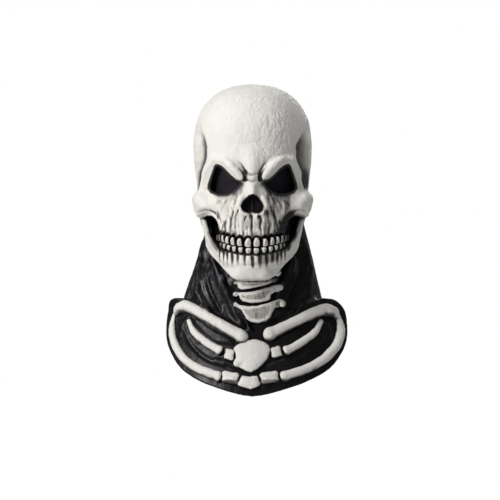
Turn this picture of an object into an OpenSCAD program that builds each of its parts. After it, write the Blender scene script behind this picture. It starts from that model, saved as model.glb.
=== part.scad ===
// Full-head latex skull mask with a black neck cowl and a bone-relief chest bib.
// Millimetres, +Z up, the face looks along -Y. The origin is the crown seat: the centre of the
// flat lower face of the crown pad, where the wearer's head stops.

/* [Skull] */
// Width across the braincase
skull_w = 198; // [190:1:206]
// Front-to-back length of the braincase
skull_d = 242; // [234:1:250]
// Height of the crown above the seat
crown_h = 30; // [26:1:34]
// Thickness of the latex skin
wall = 2.2; // [1.8:0.1:3]

/* [Jaw] */
// Thickness of the jaw casting
jaw_t = 8; // [6:0.5:10]
// Upper teeth on each side
teeth_per_side = 7; // [5:1:8]

/* [Neck cowl] */
// Half width of the cowl at its top edge
cowl_top = 83; // [80:0.5:83]
// Half width of the cowl at shoulder height
cowl_low = 126; // [122:1:130]
// Thickness of the black latex
cowl_wall = 2; // [1.8:0.1:3]

/* [Chest bib] */
// Half width of the rib cage
rib_half_w = 140; // [134:1:141]
// Thickness of the bib
bib_wall = 2.5; // [2:0.1:4]
// Radius of a clavicle
clavicle_r = 10; // [9:0.5:11]

/* [Foam pads] */
// Thickness of the head pads
pad_t = 12; // [8:1:14]
// Radius of the crown pad
crown_pad_r = 46; // [38:1:50]

/* [Hidden] */

bone = "#e6e2da";
black = "#17161a";
foam = "#4a4a4e";
gap = 0.3;              // clearance between glued or neighbouring skins
fold_gap = 0.4;         // half the clearance at a flap's fold, and at the rear slit
around = 40;            // points round a lofted ring

// ---- braincase ----
brow_z = -75;           // height of the widest ring, where the ellipsoid crown begins
rim_z = -205;           // lower edge of the skull at the sides and back
cheek_z = -192;         // lower edge of the cheekbones
socket_d = 12;          // depth of the eye and nose walls
mesh_t = 1;             // thickness of the see-through mesh
crown_rise = crown_h - brow_z;
// Lower rings: [height, half width, front, back] relative to the braincase ring
face_rings = [[-75, 0, 0, 0], [-105, -1, 7, -2], [-125, -4, 9, -6], [-145, 0, 5, -12],
    [-165, 5, 4, -20], [-185, 4, 10, -26], [-205, -9.5, 12, -32], [-220, -20, 12, -35],
    [-240, -26, 11, -37]];
face_steps = [-248.5, -236.5, -223.5, -211.5, -199.5, -187.5, -176.5, -165.5, -155.5, -145.5, -134.5, -124.5,
    -114.5, -104.5, -90.5];
crown_steps = [0, 10, 20, 30, 40, 50, 60, 69, 77, 83, 87.5];
face_power = 0.93;      // below 1 the rings are slightly squared

// ---- mouth ----
bite_z = -243;          // where the tooth rows meet, at the middle
bite_rise = 12;         // how far the rows climb to their ends
arch_w = 58;            // half width of the tooth arch
arch_d = 60;            // its depth
arch_y = -72;           // its centre
upper_h = 16;           // height of an upper tooth
lower_h = 10.5;         // height of a lower tooth
tooth_t = 8;            // tooth thickness

// ---- jaw ----
jaw_pivot = [0, -37, -190];
// Half of the jaw, as plates between an upper and a lower point
jaw_plates = [[[83, -36, -194], [75, -34, -236]], [[78, -60, -211], [68, -54, -250]],
    [[61, -86, -232], [54, -82, -265]], [[45, -107, -243], [38, -110, -282]],
    [[25, -123, -253], [22, -124, -291]], [[0, -128, -257], [0, -126, -291]]];

// ---- neck ----
cowl_y = 11;            // the cowl's centre
cowl_z = [-198, -365];  // its top edge, tucked inside the skull, and its shoulder height
cowl_back = [73, 97];   // reach behind the centre at those heights
flap_z = rim_z - 2.5;   // top edge of the rear flaps, clear of the skull as they open
hinge_angle = 36;       // where the rear flaps fold, round from the side
// [height, front] of the cowl below and behind the jaw, and [height, half width, front] of the muzzle
cowl_front = [[-400, -78], [-385, -76], [-365, -68], [-335, -62], [-300, -58], [-285, -50], [-262, -32],
    [-240, -26], [-200, -24]];
muzzle = [[-310, 48, -52], [-285, 50, -68], [-262, 54, -88], [-250, 56, -97], [-235, 57, -106],
    [-200, 58, -111], [-168, 66, -112]];
cowl_steps = [-400, -385, -365, -350, -335, -318, -300, -285, -272, -262, -250, -240, -220, -195];
muzzle_steps = [-308, -285, -272, -262, -250, -242, -235, -218, -200, -184, -168];
rear_z = -360;          // lower edge of the neck at the sides and back
tape_t = 1.3;           // thickness of the closing tape, with its glue line

// ---- bib ----
bib_low = -487;
bib_y = -106;           // front of the bib at its lower edge
bib_curve = 56;         // how far the sides fall back
bib_lean = 0.3;         // how far the top leans back for each millimetre of height
// Its right edge, from the notch at the throat round to the foot
bib_top = [[0, -383], [20, -377], [59, -357], [91, -338], [115, -327], [135, -329]];
bib_edge = concat(bib_top, [[147, -345], [152, -382], [146, -412], [124, -443], [92, -462], [56, -475],
    [22, -484], [0, bib_low]]);

function spow(v, p) = sign(v) * pow(abs(v), p);
function bite(x) = bite_z + bite_rise * pow(x / arch_w, 2);
gum_cut = concat([for (x = [-68:8:68]) [x, bite(x) + upper_h]], [[68, -290], [-68, -290]]);
function mirrored(p) = [-p[0], p[1]];
function column(table, i) = [for (row = table) [row[0], row[i]]];

// A closed ring: half width w, from front y f to back y b, widest at y c
function ring(w, f, b, c, z, power = 1) = [for (i = [0:around - 1]) let (a = 360 * i / around)
    [w * spow(cos(a), power), c + (sin(a) < 0 ? c - f : b - c) * spow(sin(a), power), z]];

// Skin through a list of rings, closed at both ends
module loft(rings) {
    n = len(rings[0]);
    last = (len(rings) - 1) * n;
    polyhedron(points = [for (r = rings) each r], convexity = 8, faces = concat(
        [[for (i = [0:n - 1]) i]],
        [[for (i = [n - 1:-1:0]) last + i]],
        [for (k = [0:len(rings) - 2], i = [0:n - 1]) let (j = (i + 1) % n)
            each [[k * n + i, k * n + n + j, k * n + j], [k * n + i, k * n + n + i, k * n + n + j]]]));
}

// One smooth skin made of many facets
module skin() resize([0, 0, 0]) children();

module both_sides() {
    children();
    mirror([1, 0, 0]) children();
}

module side(s) if (s > 0) children(); else mirror([1, 0, 0]) children();

// The skull's outer shape, or one that lies t under it
function face_ring(z, t) = ring(skull_w / 2 + lookup(z, column(face_rings, 1)) - t,
    -skull_d / 2 - lookup(z, column(face_rings, 2)) + t, skull_d / 2 + lookup(z, column(face_rings, 3)) - t,
    0, z, face_power);
function crown_ring(a, t) = let (w = (skull_w / 2 - t) * cos(a), d = (skull_d / 2 - t) * cos(a))
    ring(w, -d, d, 0, brow_z + (crown_rise - t) * sin(a), face_power + (1 - face_power) * sin(a));
module skull_form(t)
    loft(concat([for (z = face_steps) face_ring(z, t)], [for (a = crown_steps) crown_ring(a, t)]));

// ---- openings in the face, drawn in X and Z ----
module eye_outline() offset(r = 3) offset(delta = -3)
    polygon([[60, -106], [68, -123], [74.5, -145], [69, -154], [52, -159.2], [35, -156.8], [23, -147],
        [16, -137], [25, -131.8], [36, -122], [47, -111]]);
module nose_outline() offset(r = 2) offset(delta = -2)
    polygon([[0, -157], [9, -160], [15.5, -167], [18.5, -176.2], [16, -184], [8, -187.2], [0, -185],
        [-8, -187.2], [-16, -184], [-18.5, -176.2], [-15.5, -167], [-9, -160]]);
// The skin between two depths under the skull's surface
module skull_layer(from, to) difference() {
    skull_form(from);
    skull_form(to);
}
module through_face(from = -160, to = -85)
    translate([0, to, 0]) rotate([90, 0, 0]) linear_extrude(to - from) children();

module skull_shell() color(bone) skin() difference() {
    union() {
        skull_layer(0, wall);
        // short walls carry the meshes behind the eyes and the nose
        intersection() {
            skull_layer(wall / 2, socket_d);
            union() {
                both_sides() through_face(to = -40) offset(delta = wall) eye_outline();
                through_face() offset(delta = wall) nose_outline();
            }
        }
    }
    // the sides and back end at the rim, and the cheeks are cut away beside the maxilla
    translate([-150, -66, -300]) cube([300, 300, rim_z + 300]);
    both_sides() translate([62, -160, -300]) cube([100, 140, cheek_z + 300]);
    // the gum line follows the bite
    through_face(to = -60) polygon(gum_cut);
    both_sides() through_face(to = -40) eye_outline();
    through_face() nose_outline();
}

// A row of teeth from z_top(x) down by h, along the arch
module tooth_row(n, h, top) for (k = [-n:n - 1]) {
    a = (k + 0.5) * 78 / n;
    x = arch_w * sin(a);
    translate([x, arch_y - arch_d * cos(a), bite(x) + top - h]) rotate([0, 0, a])
        translate([-arch_w * 0.72 / n, -tooth_t / 2, 0]) cube([arch_w * 1.44 / n, tooth_t, h]);
}

// Everything above or below the bite, dz away from it
module past_bite(way, dz) through_face(to = -20) polygon(concat(
    [for (x = [-66:6:66]) [x, bite(x) + dz]], [[66, bite_z + 100 * way], [-66, bite_z + 100 * way]]));

module upper_teeth() color(bone) skin() difference() {
    tooth_row(teeth_per_side, upper_h + 3, upper_h - 0.2);
    past_bite(-1, 0.3);
    translate([0, 0, -gap / 2]) skull_shell_band();
    jaw_form(jaw_t / 2 + gap);
}
// The skull's skin near the gum, which the teeth stop short of
module skull_shell_band() difference() {
    skull_layer(-gap, wall + gap);
    through_face(to = -60) polygon(gum_cut);
}

module lower_teeth() color(bone) skin() difference() {
    tooth_row(teeth_per_side - 1, lower_h + 3, 3);
    past_bite(1, -0.6);
    jaw_form(jaw_t / 2 + gap);
}

// Black see-through mesh behind an eye, and behind the nose
module mesh_layer() color(black) skin() intersection() {
    skull_layer(socket_d + gap / 2, socket_d + gap / 2 + mesh_t);
    through_face(to = -40) offset(delta = wall) children();
}
module eye_mesh_right() side(1) mesh_layer() eye_outline();
module eye_mesh_left() side(-1) mesh_layer() eye_outline();
module nose_mesh() mesh_layer() nose_outline();

// ---- neck and mouth lining ----
function cowl_w(z) = cowl_top + (cowl_low - cowl_top) * (cowl_z[0] - z) / (cowl_z[0] - cowl_z[1]);
function cowl_b(z) = cowl_back[0] + (cowl_back[1] - cowl_back[0]) * (cowl_z[0] - z) / (cowl_z[0] - cowl_z[1]);
module cowl_form(t) loft([for (z = cowl_steps)
    ring(cowl_w(z) - t, lookup(z, cowl_front) + t, cowl_y + cowl_b(z) - t, cowl_y, z)]);
module muzzle_form(t) loft([for (z = muzzle_steps)
    ring(lookup(z, column(muzzle, 1)) - t, lookup(z, column(muzzle, 2)) + t, 5 - t, -12, z)]);
module neck_form(t) {
    cowl_form(t);
    muzzle_form(t);
}
// The whole neck skin between its top edge and the bib
module neck_skin() difference() {
    neck_form(0);
    neck_form(cowl_wall);
    translate([-200, -200, cowl_z[0]]) cube([400, 400, 100]);
    translate([-200, -6, rear_z - 100]) cube([400, 400, 100]);
    bib_region(gap);
}
// Everything below the upper edge of the bib
module bib_region(grow) translate([0, 20, 0]) rotate([90, 0, 0]) linear_extrude(200) offset(delta = grow)
    polygon(concat([for (p = bib_top) p], [[170, -346], [170, -520], [-170, -520], [-170, -346]],
        [for (i = [len(bib_top) - 1:-1:1]) mirrored(bib_top[i])]));

// A wedge of the neck behind the two flap folds, which lie along straight lines on the cowl
outward = [cos(hinge_angle), sin(hinge_angle), 0];
cowl_half = [cowl_top, cowl_low];
function fold_point(i) = [cowl_half[i] * outward[0], cowl_y + cowl_back[i] * outward[1], cowl_z[i]];
module rear_wedge(grow) {
    run = (fold_point(1) - fold_point(0)) / (cowl_z[0] - cowl_z[1]);
    edge = [grow * outward[1], -grow * outward[0], 0];
    hull() for (p = [fold_point(0) - run * 60, fold_point(1) + run * 60]) both_sides() {
        translate(p + edge + outward * 40) cube(0.01);
        translate(p + edge - outward * 60) cube(0.01);
        translate([p[0] + 40, 200, p[2]]) cube(0.01);
    }
}

module neck_front() color(black) skin() difference() {
    neck_skin();
    rear_wedge(fold_gap);
}
module rear_flap() color(black) skin() intersection() {
    neck_skin();
    rear_wedge(-fold_gap);
    translate([fold_gap, 0, flap_z - 400]) cube([200, 200, 400]);
}
module rear_flap_right() side(1) rear_flap();
module rear_flap_left() side(-1) rear_flap();

// Fabric tape glued inside each edge of the rear slit
module slit_binding() color(foam) skin() intersection() {
    difference() {
        cowl_form(cowl_wall + gap);
        cowl_form(cowl_wall + gap + 1.2);
    }
    translate([0.8, 40, rear_z + 4]) cube([12, 100, flap_z - rear_z - 8]);
}
module slit_binding_right() side(1) slit_binding();
module slit_binding_left() side(-1) slit_binding();

// Hook-and-loop closure across the foot of the slit, outside the skin
module closure(from, to, from_x, to_x, h) intersection() {
    difference() {
        cowl_form(-to);
        cowl_form(-from);
    }
    translate([from_x, 40, -325 - h / 2]) cube([to_x - from_x, 120, h]);
}
module loop_strip() color(black) skin() closure(gap, tape_t, -46, -2, 38);
module hook_tab() color(black) skin() {
    closure(tape_t + gap, 2 * tape_t, -42, 6, 34);
    closure(gap, 2 * tape_t, 3, 7, 34);
    closure(gap, tape_t, 6, 40, 34);
}

// Lining between the tooth rows and the face, above the neck
module mouth_liner() color(black) skin() difference() {
    muzzle_form(0);
    muzzle_form(cowl_wall);
    translate([-150, -150, -320]) cube([300, 300, 320 + cowl_z[0] + gap]);
    translate([-150, -24, -320]) cube([300, 200, 320]);
}
// Dark roof of the hollow between cheekbone and jaw
module cheek_liner() color(black) skin() difference() {
    intersection() {
        skull_form(wall + gap / 2);
        translate([62, -140, cheek_z + 5]) cube([60, 115, cowl_wall]);
    }
    muzzle_form(-gap);
}
module cheek_liner_right() side(1) cheek_liner();
module cheek_liner_left() side(-1) cheek_liner();

// ---- foam pads ----
module crown_pad() color(foam) intersection() {
    cylinder(h = 60, r = crown_pad_r, $fn = 96);
    translate([0, 0, crown_h - wall - 1.5 - 84]) sphere(r = 84, $fn = 96);
}
// A curved foam block against the inside of a vertical wall: its outer face has radius r about y c
module arc_pad(r, c, half_angle, h, z) color(foam) translate([0, c, z]) rotate([0, 0, -90 - half_angle])
    rotate_extrude(angle = 2 * half_angle, $fn = 96) translate([r - pad_t, -h / 2]) square([pad_t, h]);
front_r = pow(skull_w / 2 - wall, 2) / (skull_d / 2 - wall);
module forehead_pad() arc_pad(front_r - 1, -(skull_d / 2 - wall - 3) + front_r - 1, 28, 34, brow_z);
module rear_pad() rotate([0, 0, 180]) forehead_pad();
module temple_pad() color(foam) translate([skull_w / 2 - wall - 3 - 130, 0, brow_z]) rotate([0, 0, -14])
    rotate_extrude(angle = 28, $fn = 96) translate([130 - pad_t, -17]) square([pad_t, 34]);
module temple_pad_right() side(1) temple_pad();
module temple_pad_left() side(-1) temple_pad();

// ---- jaw ----
module jaw_plate(p, r) for (q = p) translate(q) sphere(r = r, $fn = 10);
module jaw_form(r) both_sides() for (i = [0:len(jaw_plates) - 2]) hull() {
    jaw_plate(jaw_plates[i], r);
    jaw_plate(jaw_plates[i + 1], r);
}
module jaw_shell() color(bone) jaw_form(jaw_t / 2);
// Foam block behind the hollow chin, which keeps it from folding in
module chin_pad() color(foam) skin() difference() {
    translate([-17, -126, -289]) cube([34, 18, 25]);
    jaw_form(jaw_t / 2 + gap / 2);
}

// ---- vertebrae: bodies and side processes on the front of the neck, leaning to one side ----
// [height, half width at top, at bottom, body height, process reach, process height, front y, lean]
vertebrae = [[-284, 21, 19.5, 13, 35, 2, -80, 3], [-303.5, 25, 23, 13, 34, 3, -78, 8],
    [-322, 26, 22, 17.5, 38, 6, -78, 5], [-350, 28, 18, 29, 41, 12, -82, 4]];
neck_shift = 5;         // the column sits this far to one side
bead = 3.5;             // rounding of a body's edges
module vertebra(i) color(bone) skin() {
    v = vertebrae[i];
    low = -v[3] / 2 + bead;
    high = v[3] / 2 - bead;
    difference() {
        translate([neck_shift, v[6], v[0]]) rotate([0, -v[7], 0]) {
            hull() for (s = [-1, 1]) {
                translate([s * (v[1] - bead), bead, high]) sphere(r = bead, $fn = 12);
                translate([s * (v[2] - bead), bead, low]) sphere(r = bead, $fn = 12);
                translate([s * (v[1] + 0.7), 40, 0]) sphere(r = bead, $fn = 12);
            }
            both_sides() hull() {
                translate([v[1] - 6, 7, high - 1]) sphere(r = bead, $fn = 12);
                translate([v[4], 20, v[5]]) sphere(r = 5, $fn = 12);
            }
        }
        neck_form(-gap);
        translate([-100, v[6] + 32, -420]) cube([200, 100, 300]);
    }
}
module vertebra_1() vertebra(0);
module vertebra_2() vertebra(1);
module vertebra_3() vertebra(2);
module vertebra_4() vertebra(3);

// ---- bib ----
function bib_front(x, z) = bib_y + bib_curve * pow(abs(x) / 143, 2.1) + bib_lean * (z + 470);
bib_x = [for (i = [-11:11]) i * 15];
bib_z = [for (i = [0:9]) bib_low - 8 + i * 20];
function two(a, b, c, d) = [[a, c, b], [b, c, d]];
// A slab whose front stands ahead of the bib's, and follows it
module bib_slab(ahead, thick) {
    nx = len(bib_x);
    nz = len(bib_z);
    n = nx * nz;
    top = (nz - 1) * nx;
    polyhedron(convexity = 6,
        points = [for (back = [0, thick], z = bib_z, x = bib_x) [x, bib_front(x, z) - ahead + back, z]],
        faces = concat(
            [for (k = [0:nz - 2], i = [0:nx - 2]) let (p = k * nx + i)
                each two(p, p + 1, p + nx, p + nx + 1)],
            [for (k = [0:nz - 2], i = [0:nx - 2]) let (p = n + k * nx + i)
                each two(p, p + nx, p + 1, p + nx + 1)],
            [for (i = [0:nx - 2]) each concat(two(i, n + i, i + 1, n + i + 1),
                two(top + i, top + i + 1, n + top + i, n + top + i + 1))],
            [for (k = [0:nz - 2]) let (p = k * nx, q = p + nx - 1)
                each concat(two(p, p + nx, n + p, n + p + nx), two(q, n + q, q + nx, n + q + nx))]));
}
module bib_shape() offset(r = 5) offset(delta = -5)
    polygon(concat(bib_edge, [for (i = [len(bib_edge) - 2:-1:1]) mirrored(bib_edge[i])]));
module bib_skin() color(black) skin() intersection() {
    bib_slab(0, bib_wall);
    through_bib() bib_shape();
}
module through_bib() translate([0, 60, 0]) rotate([90, 0, 0]) linear_extrude(220) children();

// A point along a smooth curve through the points p
function along(p, t) = let (k = min(floor(t), len(p) - 2), u = t - k,
    a = p[max(k - 1, 0)], b = p[k], c = p[k + 1], d = p[min(k + 2, len(p) - 1)])
    0.5 * (2 * b + (c - a) * u + (2 * a - 5 * b + 4 * c - d) * u * u
    + (3 * b - a - 3 * c + d) * u * u * u);
// A bone along points [x, z, radius] on the bib, rounded at both ends and flat where it meets the skin
module bib_bone(p, proud) color(bone) skin() difference() {
    steps = 3 * (len(p) - 1);
    spine = [for (i = [0:steps]) along(p, i / 3)];
    way = [for (i = [0:steps]) let (d = spine[min(i + 1, steps)] - spine[max(i - 1, 0)])
        d / norm([d[0], d[1]])];
    // [how far past the end, share of the radius]
    tips = [[0.85, 0.3], [0.5, 0.8]];
    rows = concat(
        [for (t = tips) [spine[0] - way[0] * t[0] * spine[0][2], way[0], t[1] * spine[0][2]]],
        [for (i = [0:steps]) [spine[i], way[i], spine[i][2]]],
        [for (t = [tips[1], tips[0]])
            [spine[steps] + way[steps] * t[0] * spine[steps][2], way[steps], t[1] * spine[steps][2]]]);
    loft([for (row = rows) let (c = row[0], d = row[1], r = row[2]) [for (a = [0:30:330])
        [c[0] - d[1] * r * cos(a), bib_front(c[0], c[1]) - proud * r * sin(a), c[1] + d[0] * r * cos(a)]]]);
    bib_slab(gap / 2, 60);
}
clavicle = [[21, -389, 10.5], [45, -375, 9.5], [68, -363, 9], [91, -350.5, 9.5], [113, -341, 10],
    [128, -343, 9]];
first_rib = [[107, -366, 4.5], [98, -384, 6], [80, -399, 6.5], [66, -407.5, 6.7], [53.5, -413.5, 6.7]];
second_rib = [[rib_half_w - 5, -358, 5], [rib_half_w, -380, 7.5], [rib_half_w - 6, -404, 8],
    [117, -426, 8], [92, -442, 8], [56, -455, 8]];
thick_clavicle = [for (q = clavicle) [q[0], q[1], q[2] * clavicle_r / 10]];
module bone_pair(s, p, proud = 0.75) bib_bone([for (q = p) [s * q[0], q[1], q[2]]], proud);
module clavicle_right() bone_pair(1, thick_clavicle, 0.95);
module clavicle_left() bone_pair(-1, thick_clavicle, 0.95);
module first_rib_right() bone_pair(1, first_rib);
module first_rib_left() bone_pair(-1, first_rib);
module second_rib_right() bone_pair(1, second_rib);
module second_rib_left() bone_pair(-1, second_rib);
// A flat-backed block on the bib with a rounded outline
module bib_block(thick, r) color(bone) skin() intersection() {
    bib_slab(thick, thick - gap / 2);
    through_bib() offset(r = r, $fn = 24) offset(delta = -r) children();
}
module first_cartilage() bib_block(6, 3) translate([38.3, -416]) rotate(14) square([14.5, 17], center = true);
module second_cartilage() bib_block(6.5, 3) translate([32.5, -457]) rotate(6) square([27, 18], center = true);
module first_cartilage_right() side(1) first_cartilage();
module first_cartilage_left() side(-1) first_cartilage();
module second_cartilage_right() side(1) second_cartilage();
module second_cartilage_left() side(-1) second_cartilage();
module manubrium() bib_block(8, 6) polygon([[-6, -397], [6, -397], [14, -402], [24, -404.5],
    [28, -414], [21, -433], [9, -448], [-9, -448], [-21, -433], [-28, -414], [-24, -404.5], [-14, -402]]);
module sternum_tip() bib_block(7, 3) polygon([[-13, -451], [13, -451], [16, -470], [0, -476], [-16, -470]]);

skull_shell();
upper_teeth();
eye_mesh_left();
eye_mesh_right();
nose_mesh();
mouth_liner();
cheek_liner_left();
cheek_liner_right();
crown_pad();
forehead_pad();
rear_pad();
temple_pad_left();
temple_pad_right();
neck_front();
vertebra_1();
vertebra_2();
vertebra_3();
vertebra_4();
jaw_shell();
lower_teeth();
chin_pad();
rear_flap_left();
rear_flap_right();
slit_binding_left();
slit_binding_right();
loop_strip();
hook_tab();
bib_skin();
clavicle_left();
clavicle_right();
first_rib_left();
first_rib_right();
second_rib_left();
second_rib_right();
first_cartilage_left();
first_cartilage_right();
second_cartilage_left();
second_cartilage_right();
manubrium();
sternum_tip();
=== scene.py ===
import math

import bpy
import numpy as np
from mathutils import Euler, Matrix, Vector


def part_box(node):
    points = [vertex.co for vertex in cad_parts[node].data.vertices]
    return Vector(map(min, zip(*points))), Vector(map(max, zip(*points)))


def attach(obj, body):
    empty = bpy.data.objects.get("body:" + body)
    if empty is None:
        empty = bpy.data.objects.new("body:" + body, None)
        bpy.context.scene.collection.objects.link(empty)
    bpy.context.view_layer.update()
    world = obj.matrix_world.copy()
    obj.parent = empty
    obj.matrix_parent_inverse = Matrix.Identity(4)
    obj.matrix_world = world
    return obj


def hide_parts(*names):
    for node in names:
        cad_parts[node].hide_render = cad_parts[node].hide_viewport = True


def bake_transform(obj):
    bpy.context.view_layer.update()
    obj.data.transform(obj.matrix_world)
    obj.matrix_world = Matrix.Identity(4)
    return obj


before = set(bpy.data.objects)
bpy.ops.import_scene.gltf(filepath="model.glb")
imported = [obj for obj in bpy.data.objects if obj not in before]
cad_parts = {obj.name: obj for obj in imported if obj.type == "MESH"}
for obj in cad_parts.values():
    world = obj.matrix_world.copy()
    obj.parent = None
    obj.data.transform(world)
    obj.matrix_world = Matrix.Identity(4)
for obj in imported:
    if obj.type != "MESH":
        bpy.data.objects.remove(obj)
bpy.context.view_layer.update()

# Everything is sculpted in millimetres, in the frame of the CAD, and made in metres.
MM = 0.001
# Grid steps of the clay. Thin sheets look pitted if theirs is much over half their thickness.
FACE_STEP = 1.5
BONE_STEP = 1.2
SKIN_STEP = 1.8
FOAM_STEP = 1.8
CORNERS = [(a, b, c) for a in (0, 1) for b in (0, 1) for c in (0, 1)]


# ---------------------------------------------------------------- sculpting kit


def smooth(edge0, edge1, v):
    """0 before edge0, 1 after edge1, and an S curve between; edge0 may be the larger."""
    t = np.clip((v - edge0) / (edge1 - edge0), 0, 1)
    return t * t * (3 - 2 * t)


def through(points, per_span=6):
    """A smooth curve (Catmull-Rom) through the points, with per_span steps in each span."""
    p = np.array(points, float)
    ext = np.vstack([2 * p[0] - p[1], p, 2 * p[-1] - p[-2]])
    out = []
    for k in range(len(p) - 1):
        a, b, c, d = ext[k : k + 4]
        for u in np.arange(per_span) / per_span:
            square, cube = 2 * a - 5 * b + 4 * c - d, 3 * b - a - 3 * c + d
            out.append(0.5 * (2 * b + (c - a) * u + square * u**2 + cube * u**3))
    return np.array(out + [p[-1]])


def polygon_distance(u, v, points):
    """Signed distance in a plane to a closed outline, negative inside; u and v may be axes of a grid."""
    p = np.array(points, float)
    best = np.full(np.broadcast(u, v).shape, 1e12)
    inside = np.zeros(best.shape, bool)
    for a, b in zip(p, np.roll(p, -1, axis=0)):
        e = b - a
        t = np.clip(((u - a[0]) * e[0] + (v - a[1]) * e[1]) / (e @ e), 0, 1)
        best = np.minimum(best, (u - a[0] - t * e[0]) ** 2 + (v - a[1] - t * e[1]) ** 2)
        if a[1] != b[1]:
            crosses = ((a[1] > v) != (b[1] > v)) & (u < e[0] * (v - a[1]) / e[1] + a[0])
            inside ^= crosses
    return np.where(inside, -1, 1) * np.sqrt(best)


def blob(centre, radii, turn=(0, 0, 0)):
    """An ellipsoid, turned by angles in degrees about X, Y and Z."""
    c, r = np.array(centre, float), np.array(radii, float)
    m = np.array(Euler([math.radians(a) for a in turn]).to_matrix())

    def dist(x, y, z):
        p = (x - c[0], y - c[1], z - c[2])
        q = [m[0][i] * p[0] + m[1][i] * p[1] + m[2][i] * p[2] for i in range(3)]
        k0 = np.sqrt(sum((q[i] / r[i]) ** 2 for i in range(3)))
        k1 = np.sqrt(sum((q[i] / r[i] ** 2) ** 2 for i in range(3)))
        return k0 * (k0 - 1) / np.maximum(k1, 1e-6)

    return c - r.max(), c + r.max(), dist


def rope(points, radii):
    """Round rods from point to point, with a radius at each."""
    p = np.array(points, float)
    r = np.broadcast_to(np.array(radii, float), len(p))

    def dist(x, y, z):
        best = 1e9
        for a, b, ra, rb in zip(p, p[1:], r, r[1:]):
            d = b - a
            t = np.clip(((x - a[0]) * d[0] + (y - a[1]) * d[1] + (z - a[2]) * d[2]) / (d @ d), 0, 1)
            e = np.sqrt((x - a[0] - t * d[0]) ** 2 + (y - a[1] - t * d[1]) ** 2 + (z - a[2] - t * d[2]) ** 2)
            best = np.minimum(best, e - (ra + (rb - ra) * t))
        return best

    return p.min(0) - r.max(), p.max(0) + r.max(), dist


def both(a, b, k):
    """The overlap of two distances, with its edge rounded over about k millimetres."""
    h = np.maximum(k - np.abs(a - b), 0) / k
    return np.maximum(a, b) + h * h * k * 0.25


def either(a, b, k):
    """The union of two distances, with its crease filled over about k millimetres."""
    h = np.maximum(k - np.abs(a - b), 0) / k
    return np.minimum(a, b) - h * h * k * 0.25


def mix_corners(i, t, lookup):
    """What lookup says at the eight corners of each cell i, mixed by the places t in it."""
    out = 0
    for corner in CORNERS:
        wx, wy, wz = (t[:, m] if corner[m] else 1 - t[:, m] for m in range(3))
        out = out + wx * wy * wz * lookup(*(i[:, m] + corner[m] for m in range(3)))
    return out


def prism(outline, front, back, rounding=0.0, flare=0.0):
    """An outline in X and Z pushed along Y from front to back; flare narrows it towards the back."""
    p = np.array(outline, float)
    low = np.array([p[:, 0].min(), front, p[:, 1].min()]) - 3
    high = np.array([p[:, 0].max(), back, p[:, 1].max()]) + 3

    def dist(x, y, z):
        d = polygon_distance(x, z, p) - rounding
        return both(d + flare * (y - front), np.maximum(front - y, y - back), 0.01)

    return low, high, dist


def side_rope(points, radii, s):
    """A rope through points given for the side of +X, on side s."""
    return rope(np.array(points, float) * (s, 1, 1), radii)


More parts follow.
